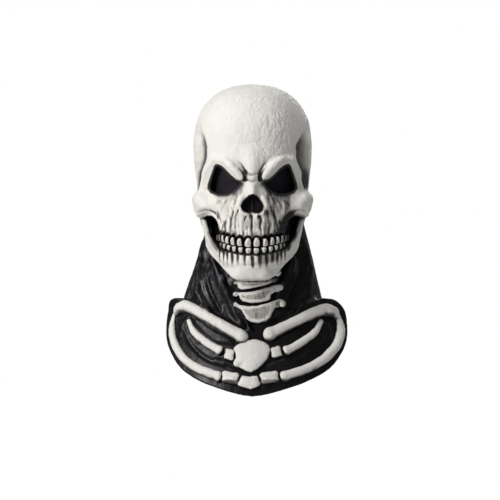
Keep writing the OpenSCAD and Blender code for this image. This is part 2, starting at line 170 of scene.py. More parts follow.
class Clay:
    """A block of clay: a signed distance on a grid, in millimetres, negative inside."""

    def __init__(self, low, high, step):
        self.low, self.step = np.array(low, float), step
        count = np.ceil((np.array(high, float) - self.low) / step).astype(int) + 1
        self.axes = [self.low[i] + step * np.arange(count[i]) for i in range(3)]
        self.f = np.full(count, 1e3, np.float32)

    def grid(self, part=(slice(None),) * 3):
        """The axes of the grid, or of a part of it, shaped to be used together."""
        x, y, z = (self.axes[i][part[i]] for i in range(3))
        return x[:, None, None], y[None, :, None], z[None, None, :]

    def part(self, low, high, pad=0):
        """The slices of the grid that hold a box."""
        out = []
        for i in range(3):
            a = int(np.floor((low[i] - pad - self.low[i]) / self.step))
            b = int(np.ceil((high[i] + pad - self.low[i]) / self.step)) + 1
            out.append(slice(max(a, 0), max(b, 0)))
        return tuple(out)

    def fill(self, distance):
        """Take a distance as the whole field."""
        self.f = np.broadcast_to(distance, self.f.shape).astype(np.float32)

    def trim(self, distance, where=True):
        """Keep only what lies inside a distance, at the places told."""
        self.fill(np.maximum(self.f, np.where(where, distance, -50)))

    def add(self, shape, k=4.0):
        """Press on a shape, blended over about k millimetres."""
        self._merge(shape, k, 1)

    def cut(self, shape, k=4.0):
        """Scoop out a shape, with its lip rounded over about k millimetres."""
        self._merge(shape, k, -1)

    def _merge(self, shape, k, sign):
        low, high, dist = shape
        part = self.part(low, high, k + 10)
        if self.f[part].size == 0:
            return
        d = dist(*self.grid(part))
        self.f[part] = sign * either(sign * self.f[part], d, k)

    def pairs(self, make, k=4.0, cut=False):
        """The same shape on both sides; make takes 1 for +X or -1 for -X."""
        for s in (1, -1):
            (self.cut if cut else self.add)(make(s), k)

    def even(self):
        """Rescale the field so that it measures distance near the surface."""
        g = np.gradient(self.f, self.step)
        self.f /= np.maximum(np.sqrt(g[0] ** 2 + g[1] ** 2 + g[2] ** 2), 0.05)

    def sample(self, p):
        """The field at points."""
        q = np.clip((p - self.low) / self.step, 0, np.array(self.f.shape) - 1.001)
        i = q.astype(np.int32)
        return mix_corners(i, (q - i).astype(np.float32), lambda *at: self.f[at])

    def normals(self, p):
        h = self.step * 0.75
        g = np.stack([self.sample(p + e) - self.sample(p - e) for e in np.eye(3) * h], axis=1)
        return g / np.maximum(np.linalg.norm(g, axis=1, keepdims=True), 1e-9)

    def surface(self):
        """The clay's skin: points, one in each cell that it crosses, their normals, and quads."""
        inside = self.f < 0
        n = np.array(self.f.shape) - 1
        total = np.zeros(n, np.int8)
        for a, b, c in CORNERS:
            total += inside[a : a + n[0], b : b + n[1], c : c + n[2]]
        cells = np.argwhere((total > 0) & (total < 8))
        index = np.full(n, -1, np.int64)
        index[tuple(cells.T)] = np.arange(len(cells))
        values = [self.f[cells[:, 0] + a, cells[:, 1] + b, cells[:, 2] + c] for a, b, c in CORNERS]
        place = np.zeros((len(cells), 3))
        hits = np.zeros(len(cells))
        for i, a in enumerate(CORNERS):
            for j in range(i + 1, 8):
                b = CORNERS[j]
                if sum(abs(a[m] - b[m]) for m in range(3)) != 1:
                    continue
                va, vb = values[i], values[j]
                cross = (va < 0) != (vb < 0)
                t = np.where(cross, va / np.where(cross, va - vb, 1), 0)
                place += np.where(cross[:, None], a + t[:, None] * (np.array(b) - a), 0)
                hits += cross
        p = self.low + (cells + place / hits[:, None]) * self.step
        quads = []
        for axis in range(3):
            u, v = (axis + 1) % 3, (axis + 2) % 3
            lo = [slice(1, -1)] * 3
            hi = [slice(1, -1)] * 3
            lo[axis], hi[axis] = slice(0, -1), slice(1, None)
            first, second = inside[tuple(lo)], inside[tuple(hi)]
            at = np.argwhere(first != second)
            out = first[tuple(at.T)]
            base = at.copy()
            base[:, u] += 1
            base[:, v] += 1
            q = []
            for du, dv in ((1, 1), (0, 1), (0, 0), (1, 0)):
                cell = base.copy()
                cell[:, u] -= du
                cell[:, v] -= dv
                q.append(index[tuple(cell.T)])
            q = np.stack(q, axis=1)
            quads.append(np.where(out[:, None], q, q[:, ::-1]))
        for _ in range(2):
            p = p - self.normals(p) * (np.clip(self.sample(p), -1, 1) * 0.9)[:, None]
        return p, self.normals(p), np.concatenate(quads)


def noise(p, size, seed):
    """Smooth noise from -1 to 1 at points in millimetres, with bumps about size apart."""
    table = np.random.RandomState(seed).uniform(-1, 1, 4096)
    q = p / size + 1000
    i = np.floor(q).astype(np.int64)
    t = q - i
    t = t * t * t * (t * (t * 6 - 15) + 10)
    return mix_corners(i, t, lambda a, b, c: table[(a * 73856093 ^ b * 19349663 ^ c * 83492791) & 4095])


def hollow(clay, p, n, reach):
    """How shut in each point is, from 0 on open ground to 1 at the foot of a pit, out to reach."""
    return np.clip((reach - clay.sample(p + n * reach)) / reach, 0, 1)


def tidy(p, quads):
    """Drop points that no quad uses: the points kept, the quads, and which points they were."""
    used = np.zeros(len(p), bool)
    used[quads.ravel()] = True
    index = np.cumsum(used) - 1
    return p[used], index[quads], used


def rows(across, along, closed=False):
    """Quads between rows of points, with across points in each; closed joins the ends of a row."""
    i, j = np.meshgrid(np.arange(across if closed else across - 1), np.arange(along - 1))
    a = (j * across + i).ravel()
    b = (j * across + (i + 1) % across).ravel()
    return np.stack([a, b, b + across, a + across], 1)


def make(name, p, quads, material, body=None, slot=None, replaces=(), **values):
    """A smooth-shaded object from points in millimetres; values are per-point numbers for its material."""
    mesh = bpy.data.meshes.new(name)
    quads = np.asarray(quads)
    mesh.vertices.add(len(p))
    mesh.vertices.foreach_set("co", (np.asarray(p) * MM).astype(np.float32).ravel())
    mesh.loops.add(quads.size)
    mesh.loops.foreach_set("vertex_index", quads.astype(np.int32).ravel())
    mesh.polygons.add(len(quads))
    mesh.polygons.foreach_set("loop_start", (np.arange(len(quads)) * quads.shape[1]).astype(np.int32))
    mesh.update(calc_edges=True)
    mesh.validate()
    mesh.shade_smooth()
    for key, value in values.items():
        attribute = mesh.attributes.new(key, "FLOAT", "POINT")
        attribute.data.foreach_set("value", np.asarray(value, np.float32))
    obj = bpy.data.objects.new(name, mesh)
    bpy.context.scene.collection.objects.link(obj)
    mesh.materials.append(material)
    if body:
        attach(obj, body)
    if replaces:
        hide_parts(*replaces)
    return obj


# ---------------------------------------------------------------- materials


class Nodes:
    """A short way to write a node material."""

    def __init__(self, name):
        self.material = bpy.data.materials.new(name)
        self.material.use_nodes = True
        self.tree = self.material.node_tree
        self.shader = self.tree.nodes["Principled BSDF"]
        self.object = self.add("ShaderNodeTexCoord").outputs["Object"]

    def add(self, kind, **settings):
        node = self.tree.nodes.new(kind)
        for key, value in settings.items():
            setattr(node, key, value)
        return node

    def put(self, socket, value):
        if isinstance(value, bpy.types.NodeSocket):
            self.tree.links.new(value, socket)
        else:
            socket.default_value = value

    def value(self, name):
        return self.add("ShaderNodeAttribute", attribute_name=name).outputs["Fac"]

    def math(self, operation, a, b=0.0, clamp=False):
        node = self.add("ShaderNodeMath", operation=operation, use_clamp=clamp)
        self.put(node.inputs[0], a)
        self.put(node.inputs[1], b)
        return node.outputs[0]

    def swing(self, v, strength):
        """A noise as a change about zero."""
        return self.math("MULTIPLY", self.math("SUBTRACT", v, 0.5), strength)

    def stretch(self, scale, turn=(0, 0, 0)):
        node = self.add("ShaderNodeMapping")
        self.put(node.inputs["Vector"], self.object)
        node.inputs["Rotation"].default_value = [math.radians(a) for a in turn]
        node.inputs["Scale"].default_value = scale
        return node.outputs[0]

    def noise(self, scale, detail=3.0, rough=0.55, vector=None, distortion=0.0):
        node = self.add("ShaderNodeTexNoise")
        self.put(node.inputs["Vector"], vector or self.object)
        node.inputs["Scale"].default_value = scale
        node.inputs["Detail"].default_value = detail
        node.inputs["Roughness"].default_value = rough
        node.inputs["Distortion"].default_value = distortion
        return node.outputs["Fac"]

    def cells(self, scale, feature="F1", vector=None):
        node = self.add("ShaderNodeTexVoronoi", feature=feature)
        self.put(node.inputs["Vector"], vector or self.object)
        node.inputs["Scale"].default_value = scale
        return node.outputs["Distance"]

    def spread(self, v, low, high, to_low=0.0, to_high=1.0):
        node = self.add("ShaderNodeMapRange", interpolation_type="SMOOTHSTEP")
        self.put(node.inputs["Value"], v)
        for key, number in zip(("From Min", "From Max", "To Min", "To Max"), (low, high, to_low, to_high)):
            node.inputs[key].default_value = number
        return node.outputs[0]

    def ramp(self, v, *stops):
        node = self.add("ShaderNodeValToRGB")
        self.put(node.inputs[0], v)
        elements = node.color_ramp.elements
        while len(elements) < len(stops):
            elements.new(0.5)
        for element, (place, colour) in zip(elements, stops):
            element.position = place
            element.color = (*colour, 1)
        return node.outputs[0]

    def mix(self, share, a, b):
        node = self.add("ShaderNodeMix", data_type="RGBA")
        self.put(node.inputs[0], share)
        for socket, value in ((node.inputs[6], a), (node.inputs[7], b)):
            self.put(socket, value if isinstance(value, bpy.types.NodeSocket) else (*value, 1))
        return node.outputs[2]

    def bump(self, *layers):
        """Layers of (height, strength, distance in millimetres), the first the deepest."""
        normal = None
        for height, strength, distance in layers:
            node = self.add("ShaderNodeBump")
            node.inputs["Strength"].default_value = strength
            node.inputs["Distance"].default_value = distance * MM
            self.put(node.inputs["Height"], height)
            if normal:
                self.put(node.inputs["Normal"], normal)
            normal = node.outputs[0]
        self.put(self.shader.inputs["Normal"], normal)

    def finish(self, colour, roughness, specular=0.5, coat=0.0, coat_roughness=0.2):
        self.put(self.shader.inputs["Base Color"], colour)
        self.put(self.shader.inputs["Roughness"], roughness)
        self.shader.inputs["Specular IOR Level"].default_value = specular
        self.shader.inputs["Coat Weight"].default_value = coat
        self.shader.inputs["Coat Roughness"].default_value = coat_roughness
        return self.material


def bone_material(name, light, grain=1.0):
    """Bone-coloured latex: dry-brushed white over black, darkened at each point by a number that holds its
    black paint and painted shade.
    """
    m = Nodes(name)
    soot = m.value("soot")
    speckle = m.noise(420, 4, 0.7)
    blotch = m.noise(38, 3, 0.6)
    strokes = m.noise(160, 4, 0.65, m.stretch((1, 1, 0.28)), 0.4)
    uneven = m.math("ADD", m.swing(strokes, 0.55), m.swing(speckle, 0.5))
    edge = m.math("MULTIPLY", soot, m.math("SUBTRACT", 1.25, soot))
    shade = m.math("ADD", soot, m.math("MULTIPLY", uneven, edge), clamp=True)
    shade = m.math("ADD", shade, m.spread(blotch, 0.45, 0.75, 0, 0.05), clamp=True)
    warm = tuple(c * k for c, k in zip(light, (1.0, 0.985, 0.95)))
    colour = m.ramp(
        shade,
        (0.0, light),
        (0.18, warm),
        (0.42, (0.40, 0.385, 0.36)),
        (0.68, (0.095, 0.09, 0.088)),
        (1.0, (0.008, 0.008, 0.009)),
    )
    pits = m.spread(m.noise(620, 3, 0.6), 0.3, 0.62)
    pores = m.cells(430)
    m.bump((m.noise(120, 3, 0.6), 0.3, 1.4 * grain), (pits, 0.7, 0.5 * grain), (pores, 0.5, 0.45 * grain))
    return m.finish(colour, m.spread(shade, 0, 1, 0.62, 0.42), 0.35)


def tooth_material():
    """Tooth-coloured latex, streaked along the tooth and darkened at each point by a number that holds its
    black paint and painted shade.
    """
    m = Nodes("tooth_latex")
    soot = m.value("soot")
    streak = m.noise(260, 4, 0.65, m.stretch((1, 1, 0.35)))
    shade = m.math("ADD", soot, m.swing(streak, 0.5), clamp=True)
    colour = m.ramp(
        shade,
        (0.0, (0.74, 0.72, 0.68)),
        (0.3, (0.55, 0.53, 0.5)),
        (0.55, (0.17, 0.16, 0.15)),
        (0.8, (0.03, 0.028, 0.027)),
        (1.0, (0.006, 0.006, 0.006)),
    )
    m.bump((m.noise(300, 3, 0.6, m.stretch((1, 1, 0.3))), 0.35, 0.5))
    return m.finish(colour, m.spread(shade, 0, 1, 0.36, 0.5), 0.45)


def black_material():
    """Black latex with cool grey dry-brushed strokes on what stands proud, and a painted highlight on the
    left of the neck, by a number at each point.
    """
    m = Nodes("black_latex")
    proud = m.value("proud")
    strokes = m.noise(90, 5, 0.68, m.stretch((1, 1, 0.16), (0, 14, 0)), 0.6)
    flecks = m.noise(300, 4, 0.7, m.stretch((1, 1, 0.3)))
    brushed = m.math("MULTIPLY", m.spread(strokes, 0.5, 0.72), m.spread(flecks, 0.36, 0.62))
    share = m.math("MULTIPLY", brushed, proud, clamp=True)
    base = m.mix(m.noise(24, 2), (0.002, 0.0019, 0.0024), (0.005, 0.0046, 0.006))
    colour = m.mix(share, base, (0.17, 0.165, 0.2))
    m.bump(
        (m.noise(34, 3, 0.55, m.stretch((1, 1, 0.35), (0, 14, 0)), 0.5), 0.55, 3.0),
        (strokes, 0.5, 0.9),
        (m.noise(520, 3, 0.6), 0.3, 0.25),
    )
    return m.finish(colour, m.spread(m.noise(60, 3), 0.3, 0.7, 0.28, 0.44), 0.2)


def mesh_material():
    """Fine black see-through fabric, with a faint violet sheen."""
    m = Nodes("see_through_mesh")
    weave = m.math("MULTIPLY", m.cells(900), 1.4, clamp=True)
    colour = m.mix(weave, (0.0015, 0.0015, 0.002), (0.012, 0.009, 0.015))
    m.bump((weave, 0.6, 0.3), (m.noise(45, 3), 0.4, 2.0))
    m.shader.inputs["Sheen Weight"].default_value = 0.06
    return m.finish(colour, 0.6, 0.15)


def foam_material():
    """Dark grey foam with open cells."""
    m = Nodes("pad_foam")
    cells = m.cells(640)
    colour = m.mix(m.spread(cells, 0.1, 0.7), (0.02, 0.02, 0.022), (0.085, 0.085, 0.09))
    m.bump((m.noise(70, 3), 0.3, 1.5), (cells, 0.7, 0.7))
    return m.finish(colour, 0.95, 0.2)


def tape_material():
    """Black woven tape, also for the hook-and-loop closure."""
    m = Nodes("woven_tape")
    weave = m.noise(700, 2, 0.5, m.stretch((1, 1, 0.4)))
    colour = m.mix(weave, (0.012, 0.012, 0.013), (0.05, 0.05, 0.054))
    m.bump((weave, 0.7, 0.5))
    return m.finish(colour, 0.85, 0.25)


BONE = bone_material("bone_latex", (0.80, 0.785, 0.75))
RELIEF = bone_material("relief_bone", (0.76, 0.745, 0.72), 0.8)
TEETH = tooth_material()
BLACK = black_material()
MESH = mesh_material()
FOAM = foam_material()
TAPE = tape_material()


# ---------------------------------------------------------------- the skull

# Rings of the braincase and face below its widest height: half width (W), front (F) and back (B)
WIDEST = -75.0
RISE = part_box("skull_shell")[1].z / MM - WIDEST
HALF_WIDTH, HALF_DEPTH, SHELL = 99.0, 121.0, 2.2
RING_Z = np.array([-262, -245, -225, -205, -185, -165, -145, -125, -105, -75])
RING_W = np.array([66, 72, 79, 86, 90, 92, 93, 95, 98, 99])
RING_F = np.array([126, 129, 132, 133, 131, 127, 125, 127, 125, 121])
RING_B = np.array([78, 81, 85, 90, 96, 102, 109, 115, 119, 121])
# Powers of its superellipses: 2 is round, and more is squarer
SQUARE = 2.15
CROWN_SQUARE = 2.36
# The form's own unit in millimetres, about, and the lower edge of the skull's sides and back
FORM_UNIT = 95
RIM_Z = -205.0
EYE = [
    (60, -107), (62.5, -110), (68, -124), (72.5, -138), (73.5, -146), (68.5, -153), (55, -158),
    (41, -157.8), (30, -152.5), (22.5, -145), (17.5, -138.5), (19, -136), (27, -133), (36, -124),
    (45, -114.5), (51, -109.5), (56, -107.2),
]
NOSE = [
    (1, -156.5), (6, -158.5), (11.5, -163), (16, -169.5), (18.5, -176), (17, -182.5), (11.5, -186.8),
    (4.5, -186.5), (0, -184.8), (-4.5, -186.3), (-11.5, -186), (-17, -181.5), (-18.5, -175),
    (-16, -168.5), (-11, -163), (-5, -158.5),
]
# Under the cheekbone and beside the teeth, where the black lining shows
RECESS = [
    (112, -202), (96, -198.5), (84, -194.5), (74, -190.5), (66, -191.5), (60, -197), (56.5, -206),
    (54, -219), (51.5, -231), (49, -242), (48, -290), (130, -290),
]
# The line where the rows of teeth meet, which rises to the sides, and the arch that they stand on
BITE_Z, BITE_RISE = -243.0, 12.0
ARCH_W, ARCH_D, ARCH_Y = 58.0, 60.0, -72.0
UPPER_H, LOWER_H, TOOTH_THICK = 16.5, 10.5, 8.5
# Teeth of half a row, from the middle: angle along the arch, width and height
UPPER_TEETH = [
    (6.7, 11.6, 15.4), (20.4, 9.6, 13.4), (32.4, 8.4, 13.4), (43.2, 7.9, 12.8), (53.4, 7.6, 12.4),
    (63, 7.0, 11.4), (71.6, 6.4, 10.2),
]
LOWER_TEETH = [
    (6.2, 9.8, 10.0), (18.6, 8.4, 9.4), (29.6, 8.0, 9.6), (40, 7.4, 9), (49.6, 6.8, 8.6), (58.6, 6.4, 7.6),
]
# Grooves of the face, drawn from the front: path, half width, depth, painted shade along it, and whether both
# sides have it
GROOVES = [
    ([(13, -136), (12.6, -127), (15, -116.5), (20.5, -106), (28.5, -97), (38, -89)], 3.2, 1.9, 0.34, True),
    ([(-15, -119), (0, -124.6), (15, -119)], 3.4, 1.8, 0.48, False),
    ([(-12, -132), (0, -135), (12, -132)], 2.4, 1.5, 0.42, False),
    ([(14, -139), (16, -147), (18.5, -154), (22, -160)], 2.6, 1.4, 0.22, True),
    ([(24, -155), (27, -167), (31, -180), (30, -192)], 1.7, 1.0, 0.28, True),
    ([(31, -161), (37, -171), (41, -183), (42, -194)], 1.5, 0.9, 0.26, True),
    ([(40, -164), (47, -173), (50, -184)], 1.3, 0.8, 0.22, True),
    ([(51, -165), (58, -172), (66, -176)], 1.3, 0.6, 0.16, True),
    ([(90, -185), (82, -182), (72, -181.6), (62, -185.5), (54.5, -194), (50, -205), (47.5, -220)],
     2.3, 1.6, 0.36, True),
    ([(-1.5, -188), (-1, -200), (-1.6, -212), (-1, -228)], 1.3, 2.2, 0.9, False),
    ([(10, -189), (14, -198), (13, -210), (16, -229)], 1.7, 2.5, 0.75, False),
    ([(-9, -189), (-14, -200), (-15.6, -212), (-15, -229)], 1.6, 1.8, 0.42, False),
    ([(22, -180), (26, -196), (28, -212), (27, -228)], 2.3, 1.7, 0.36, False),
    ([(-22, -178), (-27, -196), (-28.5, -213), (-28, -228)], 2.0, 1.7, 0.38, False),
    ([(34, -182), (39.5, -200), (40, -214), (38.8, -226)], 2.3, 1.7, 0.42, False),
    ([(-30, -182), (-35.5, -199), (-36, -213), (-36.6, -226)], 2.2, 1.8, 0.4, False),
    ([(-41, -188), (-43.5, -204), (-44, -223)], 1.7, 1.5, 0.34, False),
    ([(45, -198), (47, -209), (46, -223)], 1.8, 1.8, 0.5, False),
    ([(7, -203), (5.5, -214), (6.6, -226)], 1.2, 0.8, 0.2, False),
    ([(-8, -208), (-7.4, -217), (-7.6, -226)], 1.3, 0.9, 0.22, False),
    ([(19, -200), (20.6, -212), (21, -226)], 1.4, 1.0, 0.26, False),
    ([(-20, -204), (-21.4, -214), (-22, -226)], 1.2, 0.9, 0.2, False),
]
# The temple's front edge: height and half width
TEMPLE = [
    (-30, 88), (-51, 82), (-62, 76.5), (-78, 73.5), (-95, 74), (-104, 76.5), (-112, 80.5), (-119, 83.5),
    (-131, 84), (-140, 86), (-150, 90),
]


def rings(z):
    """Smoothed half width, front and back at heights z."""
    near = [np.interp(z + d, RING_Z, v) for v in (RING_W, RING_F, RING_B) for d in (-8, -4, 0, 4, 8)]
    return [sum(near[i * 5 : i * 5 + 5]) / 5 for i in range(3)]


def skull_form(x, y, z):
    """The plain form of the head, in its own unit: negative inside."""
    w, front, back = rings(z)
    d = np.where(y < 0, front, back)
    low = (np.abs(x) / w) ** SQUARE + (np.abs(y) / d) ** SQUARE
    up = np.maximum(z - WIDEST, 0) / RISE
    level = (np.abs(x) / HALF_WIDTH) ** SQUARE + (np.abs(y) / HALF_DEPTH) ** SQUARE
    high = level ** (CROWN_SQUARE / SQUARE) + up**CROWN_SQUARE
    return np.where(z > WIDEST, high ** (1 / CROWN_SQUARE), low ** (1 / SQUARE)) - 1


def on_face(x, z, out=0.0):
    """The point of the plain form at x and z, moved out along its normal."""
    w, front, _ = (float(v) for v in rings(z))
    if z > WIDEST:
        up = 1 - ((z - WIDEST) / RISE) ** CROWN_SQUARE
        w, front = HALF_WIDTH * up ** (1 / CROWN_SQUARE), HALF_DEPTH * up ** (1 / CROWN_SQUARE)
    t = min(abs(x) / w, 0.999)
    y = -front * (1 - t**SQUARE) ** (1 / SQUARE)
    p = np.array([x, y, z], float)
    n = np.array([np.sign(x) * t ** (SQUARE - 1) / w, -((-y / front) ** (SQUARE - 1)) / front, 0])
    return p + out * n / np.linalg.norm(n)


def face_rope(points, radii, s=1):
    """A rope on the face through points of x, z and how far out, on side s."""
    return rope([on_face(s * a, b, out) for a, b, out in points], radii)


def bite(x):
    """The height of the line where the teeth meet."""
    return BITE_Z + BITE_RISE * (np.asarray(x) / ARCH_W) ** 2


def temple_reach(x, z):
    """How far a point lies beyond the temple's front edge, which is nearer the middle on the right."""
    edge = np.interp(z, [t[0] for t in TEMPLE[::-1]], [t[1] for t in TEMPLE[::-1]])
    return np.abs(x) - edge + 4.0 * (x > 0) * smooth(-58, -76, z)


def gaps(x, teeth):
    """1 between two teeth and 0 at the middle of one, by the place along the arch."""
    a = np.abs(np.degrees(np.arcsin(np.clip(x / ARCH_W, -1, 1))))
    middles = [t[0] for t in teeth]
    between = [0] + [(m + n) / 2 for m, n in zip(middles, middles[1:])] + [2 * middles[-1] - middles[-2]]
    return sum(np.exp(-(((a - b) / 2.6) ** 2)) for b in between)


def line_distance(u, v, path):
    """Distance in a plane to a smooth open line, and how far along it from 0 to 1."""
    p = through(path, 3)
    best, along = np.full(np.broadcast(u, v).shape, 1e9), 0
    for k, (a, b) in enumerate(zip(p, p[1:])):
        e = b - a
        t = np.clip(((u - a[0]) * e[0] + (v - a[1]) * e[1]) / (e @ e), 0, 1)
        d = (u - a[0] - t * e[0]) ** 2 + (v - a[1] - t * e[1]) ** 2
        along = np.where(d < best, (k + t) / (len(p) - 1), along)
        best = np.minimum(best, d)
    return np.sqrt(best), along


def groove(x, z, entry):
    """The share of a groove's depth at points of the front view."""
    path, wide, _, _, twin = entry
    sway = smooth(-150, -175, z) * (np.abs(x) < 60)
    sway = sway * (0.6 * np.sin(z * 0.16 + x * 0.2) + 0.25 * np.sin(z * 0.37 - x * 0.3 + 1))
    d, t = line_distance((np.abs(x) if twin else x) + sway, z, path)
    wide = wide * (1 + 0.25 * np.sin(z * 0.17 + x * 0.3))
    return np.exp(-((d / wide) ** 2)) * smooth(0, 0.15, t + 0.04) * smooth(1, 0.55, t - 0.04)


def sculpt_skull():
    """The bone-coloured head without its jaw, still solid."""
    clay = Clay((-112, -152, -262), (112, 132, 38), FACE_STEP)
    x, y, z = clay.grid()
    clay.fill(skull_form(x, y, z) * FORM_UNIT)
    clay.even()

    # temples: a hollow behind a sharp edge, fading towards the back
    reach = temple_reach(x, z)
    upper = 6.5 * smooth(-30, -62, z) * smooth(-114, -100, z)
    upper = upper * smooth(0, 3.0, reach) * (1 - 0.97 * smooth(4, 25, reach))
    lower = 7.5 * smooth(-100, -114, z) * smooth(-149, -140, z) * smooth(0, 2.4, reach)
    lower = lower * np.where(x > 0, smooth(-28, -64, y), smooth(4, -50, y))
    clay.f += (upper * smooth(6, -30, y) + lower).astype(np.float32)

    # cheekbones: they run from under the eyes round the sides to the ears
    upper = [on_face(54, -170, -7), on_face(72, -164, -6), (84, -82, -163), (90, -60, -162), (91, -34, -163),
             (90, -4, -166)]
    lower = [on_face(60, -174, -7), (76, -92, -175), (86, -70, -178), (88, -40, -178), (89, -10, -178)]
    clay.pairs(lambda s: side_rope(upper, [6, 10, 11, 10.5, 9.5, 7], s), 14)
    clay.pairs(lambda s: side_rope(lower, [7, 9, 9.5, 8, 6], s), 14)
    clay.pairs(lambda s: side_rope([(86, -72, -183), (91, -62, -190)], [6, 2.6], s), 6)
    # outer rims of the eyes
    outer_rim = [(64, -99, -0.5), (74, -114, 0), (79, -130, 0), (81, -146, -1), (80, -158, -3)]
    clay.pairs(lambda s: face_rope(outer_rim, [5, 5.5, 6, 8, 10], s), 9)
    # brows: thick rolls along the upper edges of the eyes
    brow = [(18, -128.5, 1.8), (26, -118.5, 2.6), (34.5, -109, 2.6), (45, -101, 0.8), (58, -98, -2.4)]
    clay.pairs(lambda s: face_rope(brow, [5.4, 6.5, 6.9, 6.2, 4.8], s), 4.6)
    clay.add(face_rope([(0, -121, -4.5), (0, -110, -7.5), (0, -92, -13)], [9, 12, 14]), 12)
    # nose: the bridge, then the opening with its sill and septum
    clay.add(face_rope([(0, -128, -3), (0, -138, -1), (0, -147, 2), (0, -155, 4.5)], [8, 7, 6.5, 6]), 8)
    sill = [(18, -162, 0), (22.5, -175, 0.5), (19, -187, 0.5), (8, -191, 1)]
    clay.pairs(lambda s: face_rope(sill, [3.2, 3.2, 3, 2.6], s), 5)
    # upper jaw: hollows under the cheekbones, the swell of the roots
    clay.pairs(lambda s: blob(on_face(s * 40, -184, 8), (11, 11, 14)), 8, cut=True)
    clay.add(face_rope([(a, float(bite(a)) + UPPER_H + 6, -2.2) for a in range(-50, 51, 10)], 5), 6)

    # folds and furrows
    part = clay.part((-96, -150, -232), (96, -40, -86))
    px, py, pz = clay.grid(part)
    cut = sum(entry[2] * groove(px, pz, entry) for entry in GROOVES)
    clay.f[part] += (cut * smooth(-44, -56, py)).astype(np.float32)
    over = pz - bite(px) - UPPER_H
    roots = gaps(px, UPPER_TEETH) * smooth(13, 2, over) * smooth(-6, 0, over) * (np.abs(px) < 57)
    clay.f[part] += 1.5 * roots

    clay.cut(prism(NOSE, -160, -108, 0.3, 0.05), 2.5)
    clay.add(rope([(-0.5, -116, -164), (0, -118, -176), (0.4, -125, -187)], 1.3), 1.5)
    clay.pairs(lambda s: prism([(s * a, b) for a, b in EYE], -160, -70, -0.5, 0.05), 2.0, cut=True)

    # ear region and nape
    clay.pairs(lambda s: blob((s * 75, 18, -184), (10, 15, 17)), 8)
    nape = [(a, 104 - abs(a) ** 1.6 * 0.03, -142 - abs(a) * 0.12) for a in range(-48, 49, 12)]
    clay.add(rope(nape, 3), 9)

    # lower edges: the gum, the recess beside it, and the rim at the sides and back
    part = clay.part((-60, -152, -262), (60, -40, -200))
    px, py, pz = clay.grid(part)
    gum = bite(px) + UPPER_H - 4.6 * gaps(px, UPPER_TEETH) + 1.0 - pz
    clay.f[part] = np.maximum(clay.f[part], np.where(py < -50, gum, -50))
    clay.pairs(lambda s: prism([(s * a, b) for a, b in RECESS], -160, -14), 2.4, cut=True)
    # the bright rim of the recess
    lip = [(88, -190.5), (80, -187), (72, -185.8), (64, -189), (57.5, -196.5), (53.6, -208), (51, -222)]
    clay.pairs(lambda s: face_rope([(a, b, -1.2) for a, b in through(lip, 3)], 3.2, s), 3.5)
    clay.trim(np.where(y > -62, RIM_Z - z, -50) + 1.5 * np.sin(np.arctan2(x, y) * 5 + 0.6))
    return clay


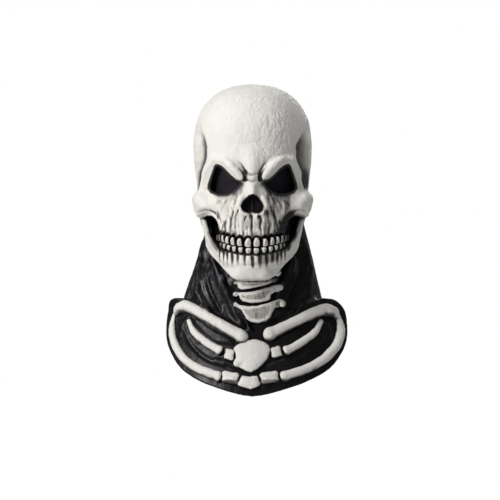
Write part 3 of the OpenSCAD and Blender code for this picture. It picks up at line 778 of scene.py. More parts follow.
def finish_skull(clay):
    """The skull's visible skin: with its black paint and painted shade, its surface texture, and opened at
    the eyes and nose.
    """
    p, n, quads = clay.surface()
    x, y, z = p.T
    ax = np.abs(x)
    front = y < -55
    eye = polygon_distance(ax, z, EYE)
    nose = polygon_distance(x, z, NOSE)
    recess = polygon_distance(ax, z, RECESS)
    depth = -FORM_UNIT * skull_form(*p.T)

    # painted shade: black in the pits and grey round them, but less in the temples
    pit = hollow(clay, p, n, 4.0)
    dip = hollow(clay, p, n, 11.0)
    reach = temple_reach(x, z)
    right = x > 0
    calm = smooth(-2, 2, reach) * smooth(-160, -154, z) * smooth(-20, -40, z)
    soot = 1.2 * smooth(0.3, 0.8, pit) * (1 - 0.85 * calm) + 0.45 * smooth(0.25, 0.7, dip) * (1 - calm)
    # black inside the eyes and the nose; painted shade round them, under the lower lids and at the inner
    # corners, which is stronger on the right
    soot += np.where(front, 0.3 * smooth(3.5, 0.5, eye) + 1.2 * smooth(1.0, -0.4, eye), 0)
    below = smooth(-142, -158, z) * smooth(12, 20, ax) * smooth(72, 56, ax)
    soot += np.where(front, 0.34 * smooth(18, 1, eye) * below, 0)
    corner = smooth(9, 0, eye) * smooth(-124, -137, z) * smooth(4, 10, ax)
    soot += np.where(front & (ax < 32), (0.45 + 0.25 * right) * corner, 0)
    soot += np.where(front, 0.35 * smooth(3, 0.5, nose) + 1.2 * smooth(0.6, -0.6, nose), 0)
    soot += np.where(y < -12, 1.2 * smooth(1.2, -0.2, recess), 0)
    drips = smooth(0.2, 0.8, noise(p * (1, 1, 0.3), 4, 9)) * smooth(-170, -188, z)
    soot += np.where(y < -60, 0.16 * drips, 0)
    # painted shade along the grooves of the face
    soot += np.where(front, sum(entry[3] * groove(x, z, entry) for entry in GROOVES), 0)
    # painted shade between the roots of the teeth, and black painted shade along the gum
    over = z - bite(x) - UPPER_H
    roots = front & (ax < 56) & (over < 40)
    gap = gaps(x, UPPER_TEETH)
    edge = over - 1.0 + 4.6 * gap
    soot += np.where(roots, 0.45 * gap * smooth(15, 1, over) + 1.1 * smooth(3.0, 1.2, edge), 0)
    streak = noise(p * (1, 1, 0.16), 3.0, 7)
    soot += np.where(front & (ax < 58), 0.34 * smooth(0.0, 0.7, streak) * smooth(-162, -190, z), 0)
    # painted shade in the temples, darkest along their front edge, with a broader grey over the right one,
    # away from the light
    temple = smooth(-36, -76, z) * smooth(-151, -143, z) * smooth(0.2, 2.4, reach)
    temple *= smooth(-10, -64, y) + (smooth(6, -50, y) - smooth(-10, -64, y)) * smooth(-92, -118, z)
    band = np.where(right, 0.36 + 0.36 * smooth(19, 1.5, reach), 0.22 + 0.55 * smooth(11, 1, reach))
    soot += temple * (band + 0.5 * smooth(-108, -132, z))
    # brush marks beside the nose
    strokes = smooth(-160, -168, z) * smooth(-216, -202, z) * smooth(19, 26, ax) * smooth(68, 58, ax)
    soot += 0.17 * strokes * front * smooth(0.0, 0.6, noise(p * (1, 1, 0.42), 3.4, 15))
    # painted shade: a grey wash on the right of the upper jaw, away from the light, darkest towards the
    # recess
    shade_on_right = smooth(13, 22, x) * smooth(-150, -164, z) * smooth(74, 58, x) * front
    beside = smooth(15, 1, recess) * smooth(-172, -182, z)
    soot += shade_on_right * (0.27 + 0.14 * noise(p * (1, 1, 0.2), 5, 10) + 0.7 * beside)
    # more painted shade beside the recess on the right
    soot += 0.5 * smooth(9, 0, recess) * smooth(56, 64, x) * smooth(90, 84, x) * (y < -30)
    soot += 0.35 * smooth(RIM_Z + 26, RIM_Z + 2, z + 5 * noise(p, 9, 5)) * (y > -62)
    soot = np.clip(soot, 0, 1)

    # the stipple, cut off at the top so that it reads as pits, and stronger at the upper right
    fine = np.minimum(noise(p * (1, 1, 0.5), 2.8, 3) + 0.7 * noise(p * (1, 1, 0.55), 1.9, 4), 0.35)
    fine = fine * (1 + 0.9 * smooth(-20, 40, x) * smooth(-120, -80, z))
    p = p + n * (0.5 * noise(p, 17, 1) + 0.3 * noise(p * (1, 1, 0.7), 7, 2) + 0.37 * fine)[:, None]
    p, quads, used = tidy(p, quads[shown_of_skull(p, eye, nose, depth, quads)])
    make("skull_face", p, quads, BONE, "skull", "bone_latex", ("skull_shell",), soot=soot[used])


def shown_of_skull(p, eye, nose, depth, quads):
    """Every quad but the bottoms of the eye and nose pits, and the cut faces underneath."""
    deep_eye = (eye < 2) & (p[:, 1] < -30) & (depth > 20)
    deep_nose = (nose < 2) & (p[:, 1] < -60) & (p[:, 1] > -116)
    rim = (p[:, 2] < RIM_Z + 3) & (np.abs(p[:, 0]) < 80) & (depth > 6) & (p[:, 1] > -62)
    gone = deep_eye | deep_nose | rim | (p[:, 1] > -60) & (p[:, 2] < RIM_Z - 3)
    return ~gone[quads].all(axis=1)


skull_clay = sculpt_skull()
finish_skull(skull_clay)


# ---------------------------------------------------------------- the jaw

# Stations along half of the jaw, from its upper end: a point on its upper edge, and one on its lower edge
JAW = [
    ((83, -20, -189), (75, -22, -224)), ((80.5, -38, -199), (71.5, -36, -237)),
    ((75.5, -62, -216), (64.5, -56, -250)), ((62, -86, -238.5), (49.5, -83, -265)),
    ((46, -107, -248), (35, -109, -281)), ((25, -122, -253), (21.5, -122, -289)),
    ((0, -127, -255), (0, -124, -289.5)),
]
# Its lines, written as in GROOVES; the wide one is a band of painted shade behind the lower teeth
JAW_LINES = [
    ([(80, -204), (72, -226), (61, -246), (48, -262)], 1.6, 1.1, 0.3, True),
    ([(75, -212), (66, -232), (56, -249), (46, -258)], 1.3, 0.9, 0.25, True),
    ([(82, -214), (75, -236), (64, -254), (52, -268)], 1.2, 0.6, 0.16, True),
    ([(70, -214), (66.5, -222), (59, -237), (49, -249), (38, -256)], 4.2, 1.6, 1.1, True),
    ([(-20, -273), (-8, -271), (6, -271.5), (20, -273)], 3.0, 1.2, 0.06, False),
]


def sculpt_jaw():
    """The bone-coloured jaw, from one side's upper end round the chin to the other's."""
    clay = Clay((-100, -146, -312), (100, -12, -182), FACE_STEP)
    upper, lower = through([a for a, b in JAW], 7), through([b for a, b in JAW], 7)
    for a, b in zip(upper, lower):
        wide = 4.6 + 1.6 * smooth(60, 20, abs(a[0]))
        clay.pairs(lambda s: side_rope([a, b], [wide, wide + 0.6], s), 1.2)
    # the lower border, the chin, the gum, and the dents between them
    clay.pairs(lambda s: side_rope(lower[8:] - (0, 1, 0), 5.2, s), 6)
    clay.pairs(lambda s: blob((s * 13, -129, -283), (14, 7, 10), (0, s * 8, 0)), 7)
    clay.add(blob((0, -131, -277), (8, 5, 12)), 7)
    arch = np.radians(np.arange(-66, 67, 6))
    gum = [(ARCH_W * math.sin(a), ARCH_Y - 3 - ARCH_D * math.cos(a)) for a in arch]
    clay.add(rope([(gx, gy, float(bite(gx)) - LOWER_H - 7) for gx, gy in gum], 5), 10)
    clay.add(rope([(gx * 0.97, gy + 1, float(bite(gx)) - LOWER_H - 17) for gx, gy in gum[2:-2]], 5.6), 10)
    # roots of the lower teeth
    part = clay.part((-56, -146, -296), (56, -60, -240))
    px, py, pz = clay.grid(part)
    under = bite(px) - LOWER_H - pz
    reach = 22 + 7 * np.sin(px * 0.8 + 2) * np.sin(px * 0.31)
    clay.f[part] += 2.4 * gaps(px, LOWER_TEETH) * smooth(reach, 1, under) * smooth(-5, 0, under) * (py < -70)
    # lines along the sides, drawn from the front
    part = clay.part((-96, -140, -292), (96, -30, -196))
    px, _, pz = clay.grid(part)
    clay.f[part] += sum(entry[2] * groove(px, pz, entry) for entry in JAW_LINES).astype(np.float32)
    # the gum line
    x, y, z = clay.grid()
    top = z - bite(x) + LOWER_H - 3.4 * gaps(x, LOWER_TEETH) + 1.0
    clay.trim(top, (np.abs(x) < 58) & (y < -66))
    return clay


def finish_jaw(clay):
    """The jaw's visible skin, with its painted shade and its surface texture."""
    p, n, quads = clay.surface()
    x, y, z = p.T
    ax = np.abs(x)
    under = bite(x) - LOWER_H - z
    front = y < -60
    # painted shade in its pits and hollows
    soot = 1.1 * smooth(0.3, 0.8, hollow(clay, p, n, 4.0))
    soot = soot + 0.4 * smooth(0.35, 0.8, hollow(clay, p, n, 10.0))
    # painted shade in streaks between the roots under the lower teeth, black along the gum, and along its
    # lines
    gap = gaps(x, LOWER_TEETH)
    mouth = front & (ax < 55) & (under > -3)
    spikes = np.clip(gap + 0.45 * smooth(0.2, 0.8, noise(p * (1, 1, 0.12), 2.4, 8)), 0, 1.2)
    soot += np.where(mouth, 1.0 * spikes * smooth(30, 5, under + 6 * noise(p * (1, 1, 0.1), 3, 9)), 0)
    soot += np.where(front & (ax < 57), 1.1 * smooth(3.2, 1.2, under + 3.4 * gap - 1.0), 0)
    soot += np.where(front, sum(entry[3] * groove(x, z, entry) for entry in JAW_LINES), 0)
    # painted shade on the right under the lower teeth, away from the light
    shade_on_right = smooth(4, 14, x) * smooth(46, 36, x) * smooth(24, 12, under + 5 * noise(p, 6, 14))
    soot += 0.42 * shade_on_right * mouth
    # painted shade on faces turned inwards and down, and under the cheekbone
    inner = smooth(0.05, -0.5, -n[:, 1] + 0.5 * np.sign(x) * n[:, 0])
    soot += 0.8 * inner + 0.6 * smooth(-203, -192, z) + 0.35 * smooth(-0.4, -0.95, n[:, 2])
    p = p + n * (0.45 * noise(p, 15, 11) + 0.25 * noise(p, 6, 12) + 0.1 * noise(p, 3.4, 13))[:, None]
    make("jaw_face", p, quads, BONE, "jaw", "bone_latex", ("jaw_shell",), soot=np.clip(soot, 0, 1))


# ---------------------------------------------------------------- teeth


def tooth(width, height, thick, seed):
    """One tooth about its middle, biting edge down: points, quads, and its black paint and painted shade."""
    around, up = 22, 15
    u, v = np.meshgrid(
        np.linspace(-math.pi, math.pi, around, endpoint=False), np.linspace(-math.pi / 2, math.pi / 2, up)
    )

    def power(a, e):
        return np.sign(a) * np.abs(a) ** e

    x = power(np.cos(v), 0.55) * power(np.cos(u), 0.6)
    y = power(np.cos(v), 0.5) * power(np.sin(u), 0.7)
    z = power(np.sin(v), 0.66)
    # q goes from -1 to 1 across, from front to back, and from the biting edge to the gum
    q = np.stack([x.ravel(), y.ravel(), z.ravel()], 1)
    jitter = np.random.RandomState(seed)
    narrow = 1 - 0.42 * smooth(-0.1, 1, q[:, 2]) - 0.06 * smooth(-0.6, -1, q[:, 2])
    shape = q * (width / 2, thick / 2, height / 2)
    shape[:, 0] *= narrow
    shape[:, 1] += 0.9 * q[:, 2] ** 2 - 0.7 * (1 - q[:, 0] ** 2)
    shape[:, 2] -= jitter.uniform(-0.3, 0.4)
    side = np.abs(q[:, 0])
    # black paint round its sides and ends, a darker mark down its face, and painted shade on its back
    soot = smooth(0.76, 0.97, side) + 0.8 * smooth(0.84, 1, q[:, 2]) + 0.6 * smooth(-0.86, -1, q[:, 2])
    mark = np.abs(q[:, 0] + jitter.uniform(-0.15, 0.15)) / (0.55 - 0.35 * q[:, 2])
    soot += 0.42 * smooth(1.0, 0.3, mark) * smooth(-0.75, -0.2, q[:, 2]) * smooth(0.9, 0.4, q[:, 2])
    soot += smooth(-0.1, 0.6, q[:, 1]) + jitter.uniform(0, 0.08)
    return shape, rows(around, up, True), np.clip(soot, 0, 1)


def spun(q, i, j, angle):
    """Points turned in the plane of axes i and j."""
    out = q.copy()
    out[:, i] = q[:, i] * math.cos(angle) - q[:, j] * math.sin(angle)
    out[:, j] = q[:, i] * math.sin(angle) + q[:, j] * math.cos(angle)
    return out


def tooth_row(name, teeth, top, body, node, seed):
    """A row of teeth along the arch, each leaning a little its own way."""
    points, faces, soots, count = [], [], [], 0
    for k, (angle, wide, tall) in enumerate(teeth):
        for s in (1, -1):
            a = math.radians(s * angle)
            x, y = ARCH_W * math.sin(a), ARCH_Y - ARCH_D * math.cos(a)
            q, f, soot = tooth(wide, tall, TOOTH_THICK, seed + 2 * k + (s > 0))
            if not top:
                q = q * (1, 1, -1)
                f = f[:, ::-1]
            # painted shade on the teeth further back, deeper in the mouth
            soot = np.clip(soot + 0.22 * max(k - 3, 0), 0, 1)
            q = spun(q, 0, 2, math.radians(6 * math.sin(k * 2.3 + seed + s)))
            q[:, 2] += 0.22 * math.degrees(a) / 60 * q[:, 0]
            middle = float(bite(x)) + tall / 2 * (1 if top else -1) + (0.5 if top else -0.7)
            points.append(spun(q, 0, 1, a) + (x, y, middle))
            faces.append(f + count)
            soots.append(soot)
            count += len(q)
    p = np.concatenate(points)
    p = p + 0.18 * np.stack([noise(p, 4, seed + i) for i in range(3)], 1)
    make(name, p, np.concatenate(faces), TEETH, body, "teeth", (node,), soot=np.concatenate(soots))


# ---------------------------------------------------------------- meshes behind the eyes and nose


CLOTH_DEPTH, CLOTH_MARGIN, CLOTH_STEP = 12.7, 2.0, 1.5


def see_through(name, outline, node, s=1):
    """A stretched sheet behind an opening, a margin larger, following the face at a depth inside it."""
    p = np.array(outline, float)
    (x0, z0), (x1, z1) = p.min(0) - CLOTH_MARGIN, p.max(0) + CLOTH_MARGIN + 0.1
    gx, gz = np.meshgrid(np.arange(x0, x1, CLOTH_STEP), np.arange(z0, z1, CLOTH_STEP))
    keep = polygon_distance(gx, gz, p) < CLOTH_MARGIN
    w, front, _ = rings(gz)
    w, front = w - CLOTH_DEPTH, front - CLOTH_DEPTH
    gy = -front * (1 - np.clip(np.abs(gx) / w, 0, 0.999) ** SQUARE) ** (1 / SQUARE)
    q = np.stack([s * gx.ravel(), gy.ravel(), gz.ravel()], 1)
    q[:, 1] += 0.5 * noise(q, 13, 21) + 0.25 * noise(q, 5, 22)
    f = rows(gx.shape[1], gx.shape[0])
    f = f[keep.ravel()[f].all(1)]
    q, f, _ = tidy(q, f if s > 0 else f[:, ::-1])
    obj = make(name, q, f, MESH, "skull", "mesh", (node,))
    area = sum(face.area for face in obj.data.polygons)
    size = (q[:, 0].max() - q[:, 0].min()) * MM, (q[:, 2].max() - q[:, 2].min()) * MM
    # flat, it is as much larger than its outline as its own area asks, and 2 % for the hem
    size = [d * max(1, math.sqrt(area / (size[0] * size[1]))) * 1.02 for d in size]


# ---------------------------------------------------------------- the black skin of neck and bib

SKIN = 3.4
# The neck's upper edge, its foot at the sides and back, the foot of the throat, and the flaps' upper edge
TOP_Z, FOOT_Z, THROAT_Z, FLAP_Z = -198.0, -360.0, -395.0, -207.5
# Height and front of the neck; height, half width and front of the black latex behind the teeth
COWL_FRONT = [
    (-400, -78), (-385, -76), (-365, -68), (-335, -62), (-300, -58), (-285, -50), (-262, -32),
    (-240, -26), (-200, -24),
]
MUZZLE = [
    (-310, 48, -52), (-285, 50, -68), (-262, 54, -88), (-250, 56, -97), (-235, 57, -106),
    (-200, 58, -111), (-168, 66, -112),
]
# Half of the bib's outline, seen from the front
BIB_TOP = [(0, -383), (20, -377), (59, -357), (91, -338), (115, -327), (135, -329)]
BIB_EDGE = BIB_TOP + [
    (147, -345), (152, -382), (146, -412), (124, -443), (92, -462), (56, -475), (22, -484), (0, -487),
]
# The ends of the line about which the right rear flap folds, and the way out from the neck there, from +X
FOLD_TOP, FOLD_LOW = np.array([67.15, 53.91, -198]), np.array([101.94, 68.02, -365])
FOLD_ANGLE = math.radians(36)
SEAM_Y = -30.0
# The bib's front: Y in the middle at one height, how far it bows back at its half width, its power and slope
BIB_Y, BIB_Z, BIB_BOW, BIB_HALF, BIB_POWER, BIB_SLOPE = -106, -470, 56, 143, 2.1, 0.3
BIB_THICK, BIB_HEM = 3.7, 0.9


def at_height(z, table, i):
    """Column i of a table that starts with heights."""
    t = np.array(table, float)
    return np.interp(z, t[:, 0], t[:, i])


def cowl_form(x, y, z):
    """The neck, which widens downwards; on the left it stays narrower below the jaw."""
    w = 83 + 43 * (-198 - z) / 167
    w = w - (9 * (x < 0) - 2) * smooth(-345, -240, z) * smooth(75, 40, y)
    back = 73 + 24 * (-198 - z) / 167
    front = 11 - at_height(z, COWL_FRONT, 1)
    d = np.where(y < 11, front, back)
    level = ((np.abs(x) / w) ** SQUARE + (np.abs(y - 11) / d) ** SQUARE) ** (1 / SQUARE)
    return (level - 1) * np.minimum(w, d)


def muzzle_form(x, y, z):
    """The black latex behind the teeth and below the cheekbones."""
    w, front = at_height(z, MUZZLE, 1), -12 - at_height(z, MUZZLE, 2)
    d = np.where(y < -12, front, 17)
    level = ((np.abs(x) / w) ** SQUARE + (np.abs(y + 12) / d) ** SQUARE) ** (1 / SQUARE)
    return np.maximum((level - 1) * np.minimum(w, d), np.maximum(z + 172, -312 - z))


def bib_front(x, z):
    """Y of the bib's front."""
    return BIB_Y + BIB_BOW * (np.abs(x) / BIB_HALF) ** BIB_POWER + BIB_SLOPE * (z - BIB_Z)


def hang(x, near=0.0):
    """The bib hangs a little to one side: how far it is shifted at x, and near the middle."""
    return near + (6 - near) * np.minimum(np.abs(x) / 140, 1.1) ** 2


def on_bib(x, z, out=0.0):
    """The point of the bib's front at x and z, moved forward."""
    return np.array([x, float(bib_front(x, z)) - out, z])


def sculpt_skin():
    """The black latex of the neck and the bib, as one hollow skin."""
    clay = Clay((-158, -122, -494), (158, 112, -164), SKIN_STEP)
    x, y, z = clay.grid()
    clay.fill(either(cowl_form(x, y, z), muzzle_form(x, y, z), 9))
    # cords of the neck under the skin, the folds between them, and a slanting ridge on the throat
    cord = [(74, -8, -226), (66, -32, -262), (50, -47, -300), (32, -58, -340), (14, -72, -378)]
    clay.pairs(lambda s: side_rope(cord, [4, 6, 6.5, 6, 4], s), 9)
    for s in (1, -1):
        # the outer cord's upper half lies 3 mm to the right on both sides
        cord = [(s * 84 + 3, 6, -238), (s * 94 + 3, -14, -275), (s * 92, -34, -318), (s * 74, -52, -350)]
        clay.add(rope(cord, [3, 4, 4.5, 4]), 8)
    fold = [(80, -14, -238), (82, -28, -272), (72, -44, -312), (56, -56, -346)]
    clay.pairs(lambda s: side_rope(fold, [1.5, 2.2, 2.2, 1.5], s), 6, cut=True)
    inner = [(52, -22, -240), (51, -46, -272), (40, -56, -304)]
    clay.pairs(lambda s: side_rope(inner, [1, 1.8, 1.2], s), 5, cut=True)
    slant = [(-24, -66, -336), (-19, -70, -350), (-11, -75, -364), (-4, -80, -378)]
    clay.add(rope(slant, [2.2, 2.6, 2.4, 2]), 4)
    # room behind the sides of the jaw for it to open
    clay.pairs(lambda s: blob((s * 72, -24, -230), (17, 12, 26)), 8, cut=True)
    # hollow inside, open at its foot, with the lower front passing into the bib
    clay.fill(np.maximum(clay.f, -(clay.f + SKIN)))
    clay.trim(np.where(y >= -6, FOOT_Z, THROAT_Z) - z)
    # the bib: a sheet with an outline, thicker along its edge
    half = np.concatenate([BIB_TOP[:4], through(BIB_EDGE[4:], 4)])
    outline = np.concatenate([half, half[-2:0:-1] * (-1, 1)])
    d2 = polygon_distance(x, z, outline)
    front = bib_front(x, z)
    bow = BIB_BOW * BIB_POWER / BIB_HALF * (np.abs(x) / BIB_HALF) ** (BIB_POWER - 1)
    slope = np.sqrt(1 + BIB_SLOPE**2 + bow**2)
    thick = BIB_THICK + BIB_HEM * smooth(5, 1, -d2)
    sheet = both(np.abs(y - front - 1.7) / slope - thick / 2, d2, 2.5)
    clay.fill(np.where(y < -10, either(clay.f, sheet, 10), np.minimum(clay.f, sheet)))
    # strands of skin stretched between the bones
    for s in (1, -1):
        for path, size in (
            ([(40, -395), (62, -386), (84, -372), (104, -357)], 2.0),
            ([(34, -400), (58, -396), (80, -382), (97, -368)], 1.5),
            ([(48, -436), (78, -426), (104, -404), (120, -376)], 2.2),
            ([(27, -440), (44, -432), (62, -428)], 2.0),
            ([(110, -360), (120, -372), (124, -392)], 2.2),
        ):
            clay.add(rope([on_bib(s * a, b, -0.4) for a, b in through(path, 3)], size), 5)
    clay.trim(z - TOP_Z, (y > -40) | (np.abs(x) > 64))
    return clay


def bib_reach(p):
    """Distance in front of or behind the bib's front, for points within its outline, and 99 elsewhere."""
    inside = polygon_distance(np.abs(p[:, 0]), p[:, 2], [(-1, -383), *BIB_EDGE[1:], (-1, -487)]) < 6
    return np.where(inside, np.abs(p[:, 1] - bib_front(p[:, 0], p[:, 2])), 99)


def finish_skin(clay):
    """The black latex's visible skin, dry-brushed grey with a painted highlight on the left of the neck, and
    cut where one body's part meets another's.
    """
    p, n, quads = clay.surface()
    x, y, z = p.T
    ax = np.abs(x)
    # how far each point is behind the fold planes of the two rear flaps
    run = (FOLD_LOW - FOLD_TOP) / np.linalg.norm(FOLD_LOW - FOLD_TOP)
    normal = np.cross((math.cos(FOLD_ANGLE), math.sin(FOLD_ANGLE), 0), run)
    normal = normal / np.linalg.norm(normal) * np.sign(normal[1])
    behind = (np.stack([ax, y, z], 1) - FOLD_TOP) @ normal
    open_up = 1 - hollow(clay, p, n, 5.0)
    ridge = 1 - hollow(clay, p, n, 12.0)
    streak = noise(p * (1, 1, 0.2), 6, 31)
    proud = 0.06 + 0.4 * smooth(0.7, 0.99, ridge) * smooth(0.6, 0.97, open_up)
    proud *= 0.4 + 0.6 * smooth(-0.1, 0.6, streak)
    # grey strokes on the left of the neck: dry-brushed paint, with a painted highlight where the light from
    # the left falls
    patch = smooth(-20, -45, x) * smooth(-125, -105, x)
    patch = patch * smooth(-350, -330, z) * smooth(-228, -250, z)
    proud = np.where(z > -360, proud * 0.5 + 0.95 * patch * (y < 0), proud * 0.28)
    rough = 0.7 * noise(p * (1, 1, 0.45), 16, 32) + 0.3 * noise(p * (1, 1, 0.5), 6, 33)
    rough = rough + 0.15 * noise(p, 3.5, 34)
    p = p + n * (rough * (1 - 0.6 * smooth(-350, -385, z)))[:, None]
    middle = p[quads].mean(1)
    flap = behind[quads].mean(1) > 0
    front = (middle[:, 1] < SEAM_Y) | (middle[:, 2] < FOOT_Z - 6) | (bib_reach(middle) < 7.5)
    front |= (middle[:, 1] < -8) & (middle[:, 2] < -340) | (np.abs(middle[:, 0]) > 129)
    # the flaps start just below the skull's rim, and nothing shows of the latex above them
    low = middle[:, 2] <= FLAP_Z
    groups = (
        ("throat_and_bib", front & ~flap, "bib", ("neck_front", "mouth_liner", "bib_skin")),
        ("neck_sides", ~front & ~flap, "skull", ("cheek_liner_left", "cheek_liner_right")),
        ("flap_right", flap & low & (middle[:, 0] > 0), "flap_right", ("rear_flap_right",)),
        ("flap_left", flap & low & (middle[:, 0] < 0), "flap_left", ("rear_flap_left",)),
    )
    for name, keep, body, nodes in groups:
        q, f, used = tidy(p, quads[keep])
        q[:, 0] += hang(q[:, 0]) * smooth(-325, -350, q[:, 2])
        rides = "skull" if body == "skull" else None
        obj = make(name, q, f, BLACK, rides, "black_latex", nodes, proud=np.clip(proud[used], 0, 1))
        if body == "bib":
            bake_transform(obj)
        elif body != "skull":
            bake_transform(obj)


# ---------------------------------------------------------------- vertebrae

# Seen from the front: the outline, and Y of its front
VERTEBRAE = [
    ([(-31, -279), (-18, -277.5), (5, -278.5), (26, -277), (37, -279.5), (46, -280.5), (48, -285.5),
      (43.5, -291), (36, -290), (28, -287), (24, -290.5), (5, -291.5), (-14, -290.5), (-17, -286),
      (-30, -288), (-34, -284)], -80),
    ([(-32, -299), (-27, -296), (-10, -297.5), (8, -297.5), (26, -294.5), (37, -292.5), (42.5, -295.5),
      (39, -300.5), (32, -301.5), (28, -303.5), (18, -306), (6, -309), (-8, -312), (-18, -313.5),
      (-24, -310), (-26, -304.5), (-32, -303.5)], -78),
    ([(-33, -318), (-28, -315), (-22, -316.5), (-8, -316), (6, -313.8), (22, -309), (36, -304.2),
      (46, -302.8), (52, -307), (50.5, -313.5), (43, -316.5), (36, -317.5), (31, -321.5), (30.5, -328),
      (26, -331.5), (12, -334), (-4, -335), (-16, -332.5), (-21, -327.5), (-23, -323), (-28, -325),
      (-33, -322)], -78),
    ([(-33, -335), (-28, -332), (-20, -337.3), (-6, -339.5), (8, -338.8), (22, -335), (36, -330.2),
      (45.5, -326.8), (52.5, -329.5), (56, -336), (53, -341.5), (46, -341.3), (38, -343.5), (33.5, -350),
      (30.5, -358), (23, -364.5), (10, -367.8), (-2, -366.6), (-10, -362), (-15, -353), (-19.5, -346),
      (-25, -343), (-32, -340.5)], -82),
]


def vertebra(i):
    """One vertebra in relief: bowed back to its sides, hollow in its middle, with a knob at each end."""
    outline, front = VERTEBRAE[i]
    p = np.array(outline, float)
    centre = 5.0
    (x0, z0), (x1, z1) = p.min(0) - 6, p.max(0) + 6
    clay = Clay((x0, front - 5, z0), (x1, front + 38, z1), BONE_STEP)
    x, y, z = clay.grid()
    flat = polygon_distance(x, z, p)
    away = np.abs(x - centre)
    bow = np.minimum(1.2 + 5.0 * (away / 25) ** 2.3, 15) + 1.8 * smooth(-3, -7.5, flat) * smooth(28, 18, away)
    clay.fill(both(flat + 0.4, front + bow - y, 4.5))
    low = p[:, 1].min()
    for s, knob in ((1, p[np.argmax(p[:, 0])]), (-1, p[np.argmin(p[:, 0])])):
        r = 6.2 if s > 0 else 4.2
        clay.add(blob((knob[0] - s * r, front + 14, knob[1]), (r, 7, r)), 5)
    p, n, quads = clay.surface()
    inside = -polygon_distance(p[:, 0], p[:, 2], outline)
    away = np.abs(p[:, 0] - centre)
    grain = noise(p * (1, 1, 0.25), 2.4, 40 + i)
    # painted shade in its hollows, down its middle, towards its ends and on its back faces, and a painted
    # highlight along its lower rim
    soot = smooth(0.25, 0.75, hollow(clay, p, n, 3.0)) + 0.6 * smooth(0.25, 0.75, hollow(clay, p, n, 8.0))
    soot += 0.4 * smooth(3.0, 7.5, inside + 1.5 * noise(p, 6, 45 + i)) * smooth(30, 20, away)
    soot += 0.2 * smooth(-0.1, 0.8, grain) + 0.16 * smooth(22, 36, away)
    soot += smooth(1.2, 0.2, inside) * (p[:, 1] > front + 7) + 0.9 * smooth(front + 17, front + 24, p[:, 1])
    soot -= 0.2 * smooth(low + 7, low + 2, p[:, 2])
    # painted shadow of the chin and jaw: the first is dark except at its right end, and the second along its
    # top
    if i == 0:
        soot += 0.6 * smooth(30, 10, p[:, 0])
    if i == 1:
        soot += 0.5 * smooth(-304, -297, p[:, 2])
    p = p + n * (0.4 * noise(p, 7, 41 + i) + 0.2 * noise(p, 3, 42 + i))[:, None]
    keep = (p[:, 1] < front + 33)[quads].any(1)
    q, f, used = tidy(p, quads[keep])
    name = f"vertebra_{i + 1}"
    make(name + "_relief", q, f, RELIEF, "skull", "relief_bone", (name,), soot=np.clip(soot[used], 0, 1))


# ---------------------------------------------------------------- bones of the bib

# Middle lines from the front, with a radius at each point; the clavicles differ from side to side
CLAVICLE = {
    -1: [(19, -389, 11), (45, -375, 9.9), (68, -363, 9.2), (91, -351, 9.4), (113, -342, 10),
         (127, -344, 9.4)],
    +1: [(24, -385, 10.4), (45, -375.5, 9.4), (68, -364.5, 9.2), (91, -354, 9.6), (113, -347, 10),
         (128, -350, 9.2)],
}
FIRST_RIB = [(109, -366, 4.8), (99, -384, 6.4), (80, -399, 7), (66, -407.5, 7.2), (52, -414.5, 7.4)]
SECOND_RIB = [
    (136, -357, 4.6), (140, -380, 7.4), (134, -404, 8), (117, -426, 8), (92, -442, 8), (50, -456.5, 8.4),
]
MANUBRIUM = [
    (3, -394), (12, -396), (20, -398.5), (26.5, -404), (29, -411), (27, -419), (24, -426), (17, -434),
    (9, -442), (-2, -448.5), (-10, -446), (-18, -442), (-28, -437), (-31, -431), (-27, -424), (-28, -417),
    (-31, -409), (-25, -403), (-18, -399.5), (-8, -395.5),
]
STERNUM_TIP = [
    (-12, -452.5), (0, -454), (13, -452.5), (18, -466), (16, -470), (2, -476), (-17, -470), (-20, -466.5),
]


def paint_relief(name, clay, node, seed, deep=0.8, lower=None, near=0.0):
    """Skins a bone on the bib, with painted shade where it meets the skin and on its lower side."""
    p, n, quads = clay.surface()
    height = bib_front(p[:, 0], p[:, 2]) - p[:, 1]
    # painted shade at its foot on the skin, in its hollows and on its lower side
    soot = smooth(6.4, 1.0, height - 1.1 * noise(p, 5, seed + 5))
    soot += 0.8 * smooth(0.2, 0.7, hollow(clay, p, n, 4.0)) + deep * smooth(-0.05, -0.85, n[:, 2])
    soot += 0.25 * smooth(0.1, 0.8, noise(p, 9, seed + 6)) * smooth(0.4, -0.2, n[:, 2])
    if lower:
        soot += 0.55 * smooth(lower + 1.5, lower - 3, p[:, 2] + noise(p, 6, seed + 7))
    fine = np.minimum(noise(p, 2.7, seed + 2), 0.4)
    p = p + n * (0.45 * noise(p, 10, seed) + 0.22 * noise(p, 4, seed + 1) + 0.24 * fine)[:, None]
    p[:, 0] += hang(p[:, 0], near)
    make(name, p, quads, RELIEF, "bib", "relief_bone", (node,), soot=np.clip(soot, 0, 1))


def cut_back(clay):
    """Cut a bone off just behind the bib's front."""
    x, y, z = clay.grid()
    clay.trim(y - bib_front(x, z) - 0.2)


def long_bone(name, path, s, lift, seed, extra=(), square=False, near=0.0):
    """A bone along a path; extra has knobs of x, z, how far out, radii and blend; square cuts its end."""
    curve = through(path, 4)
    points = [on_bib(s * a, b, lift * r) for a, b, r in curve]
    radii = [r for a, b, r in curve]
    clay = Clay(np.min(points, 0) - 18, np.max(points, 0) + 18, BONE_STEP)
    clay.add(rope(points, radii), 1)
    for a, b, out, r, k in extra:
        clay.add(blob(on_bib(s * a, b, out), r), k)
    if square:
        way = np.array([s * (path[-1][0] - path[-2][0]), 0, path[-1][1] - path[-2][1]], float)
        way /= np.linalg.norm(way)
        x, _, z = clay.grid()
        beyond = (x - s * path[-1][0]) * way[0] + (z - path[-1][1]) * way[2]
        clay.fill(both(clay.f, beyond - 0.5, 4.5))
    cut_back(clay)
    paint_relief(name + "_relief", clay, name, seed, near=near)


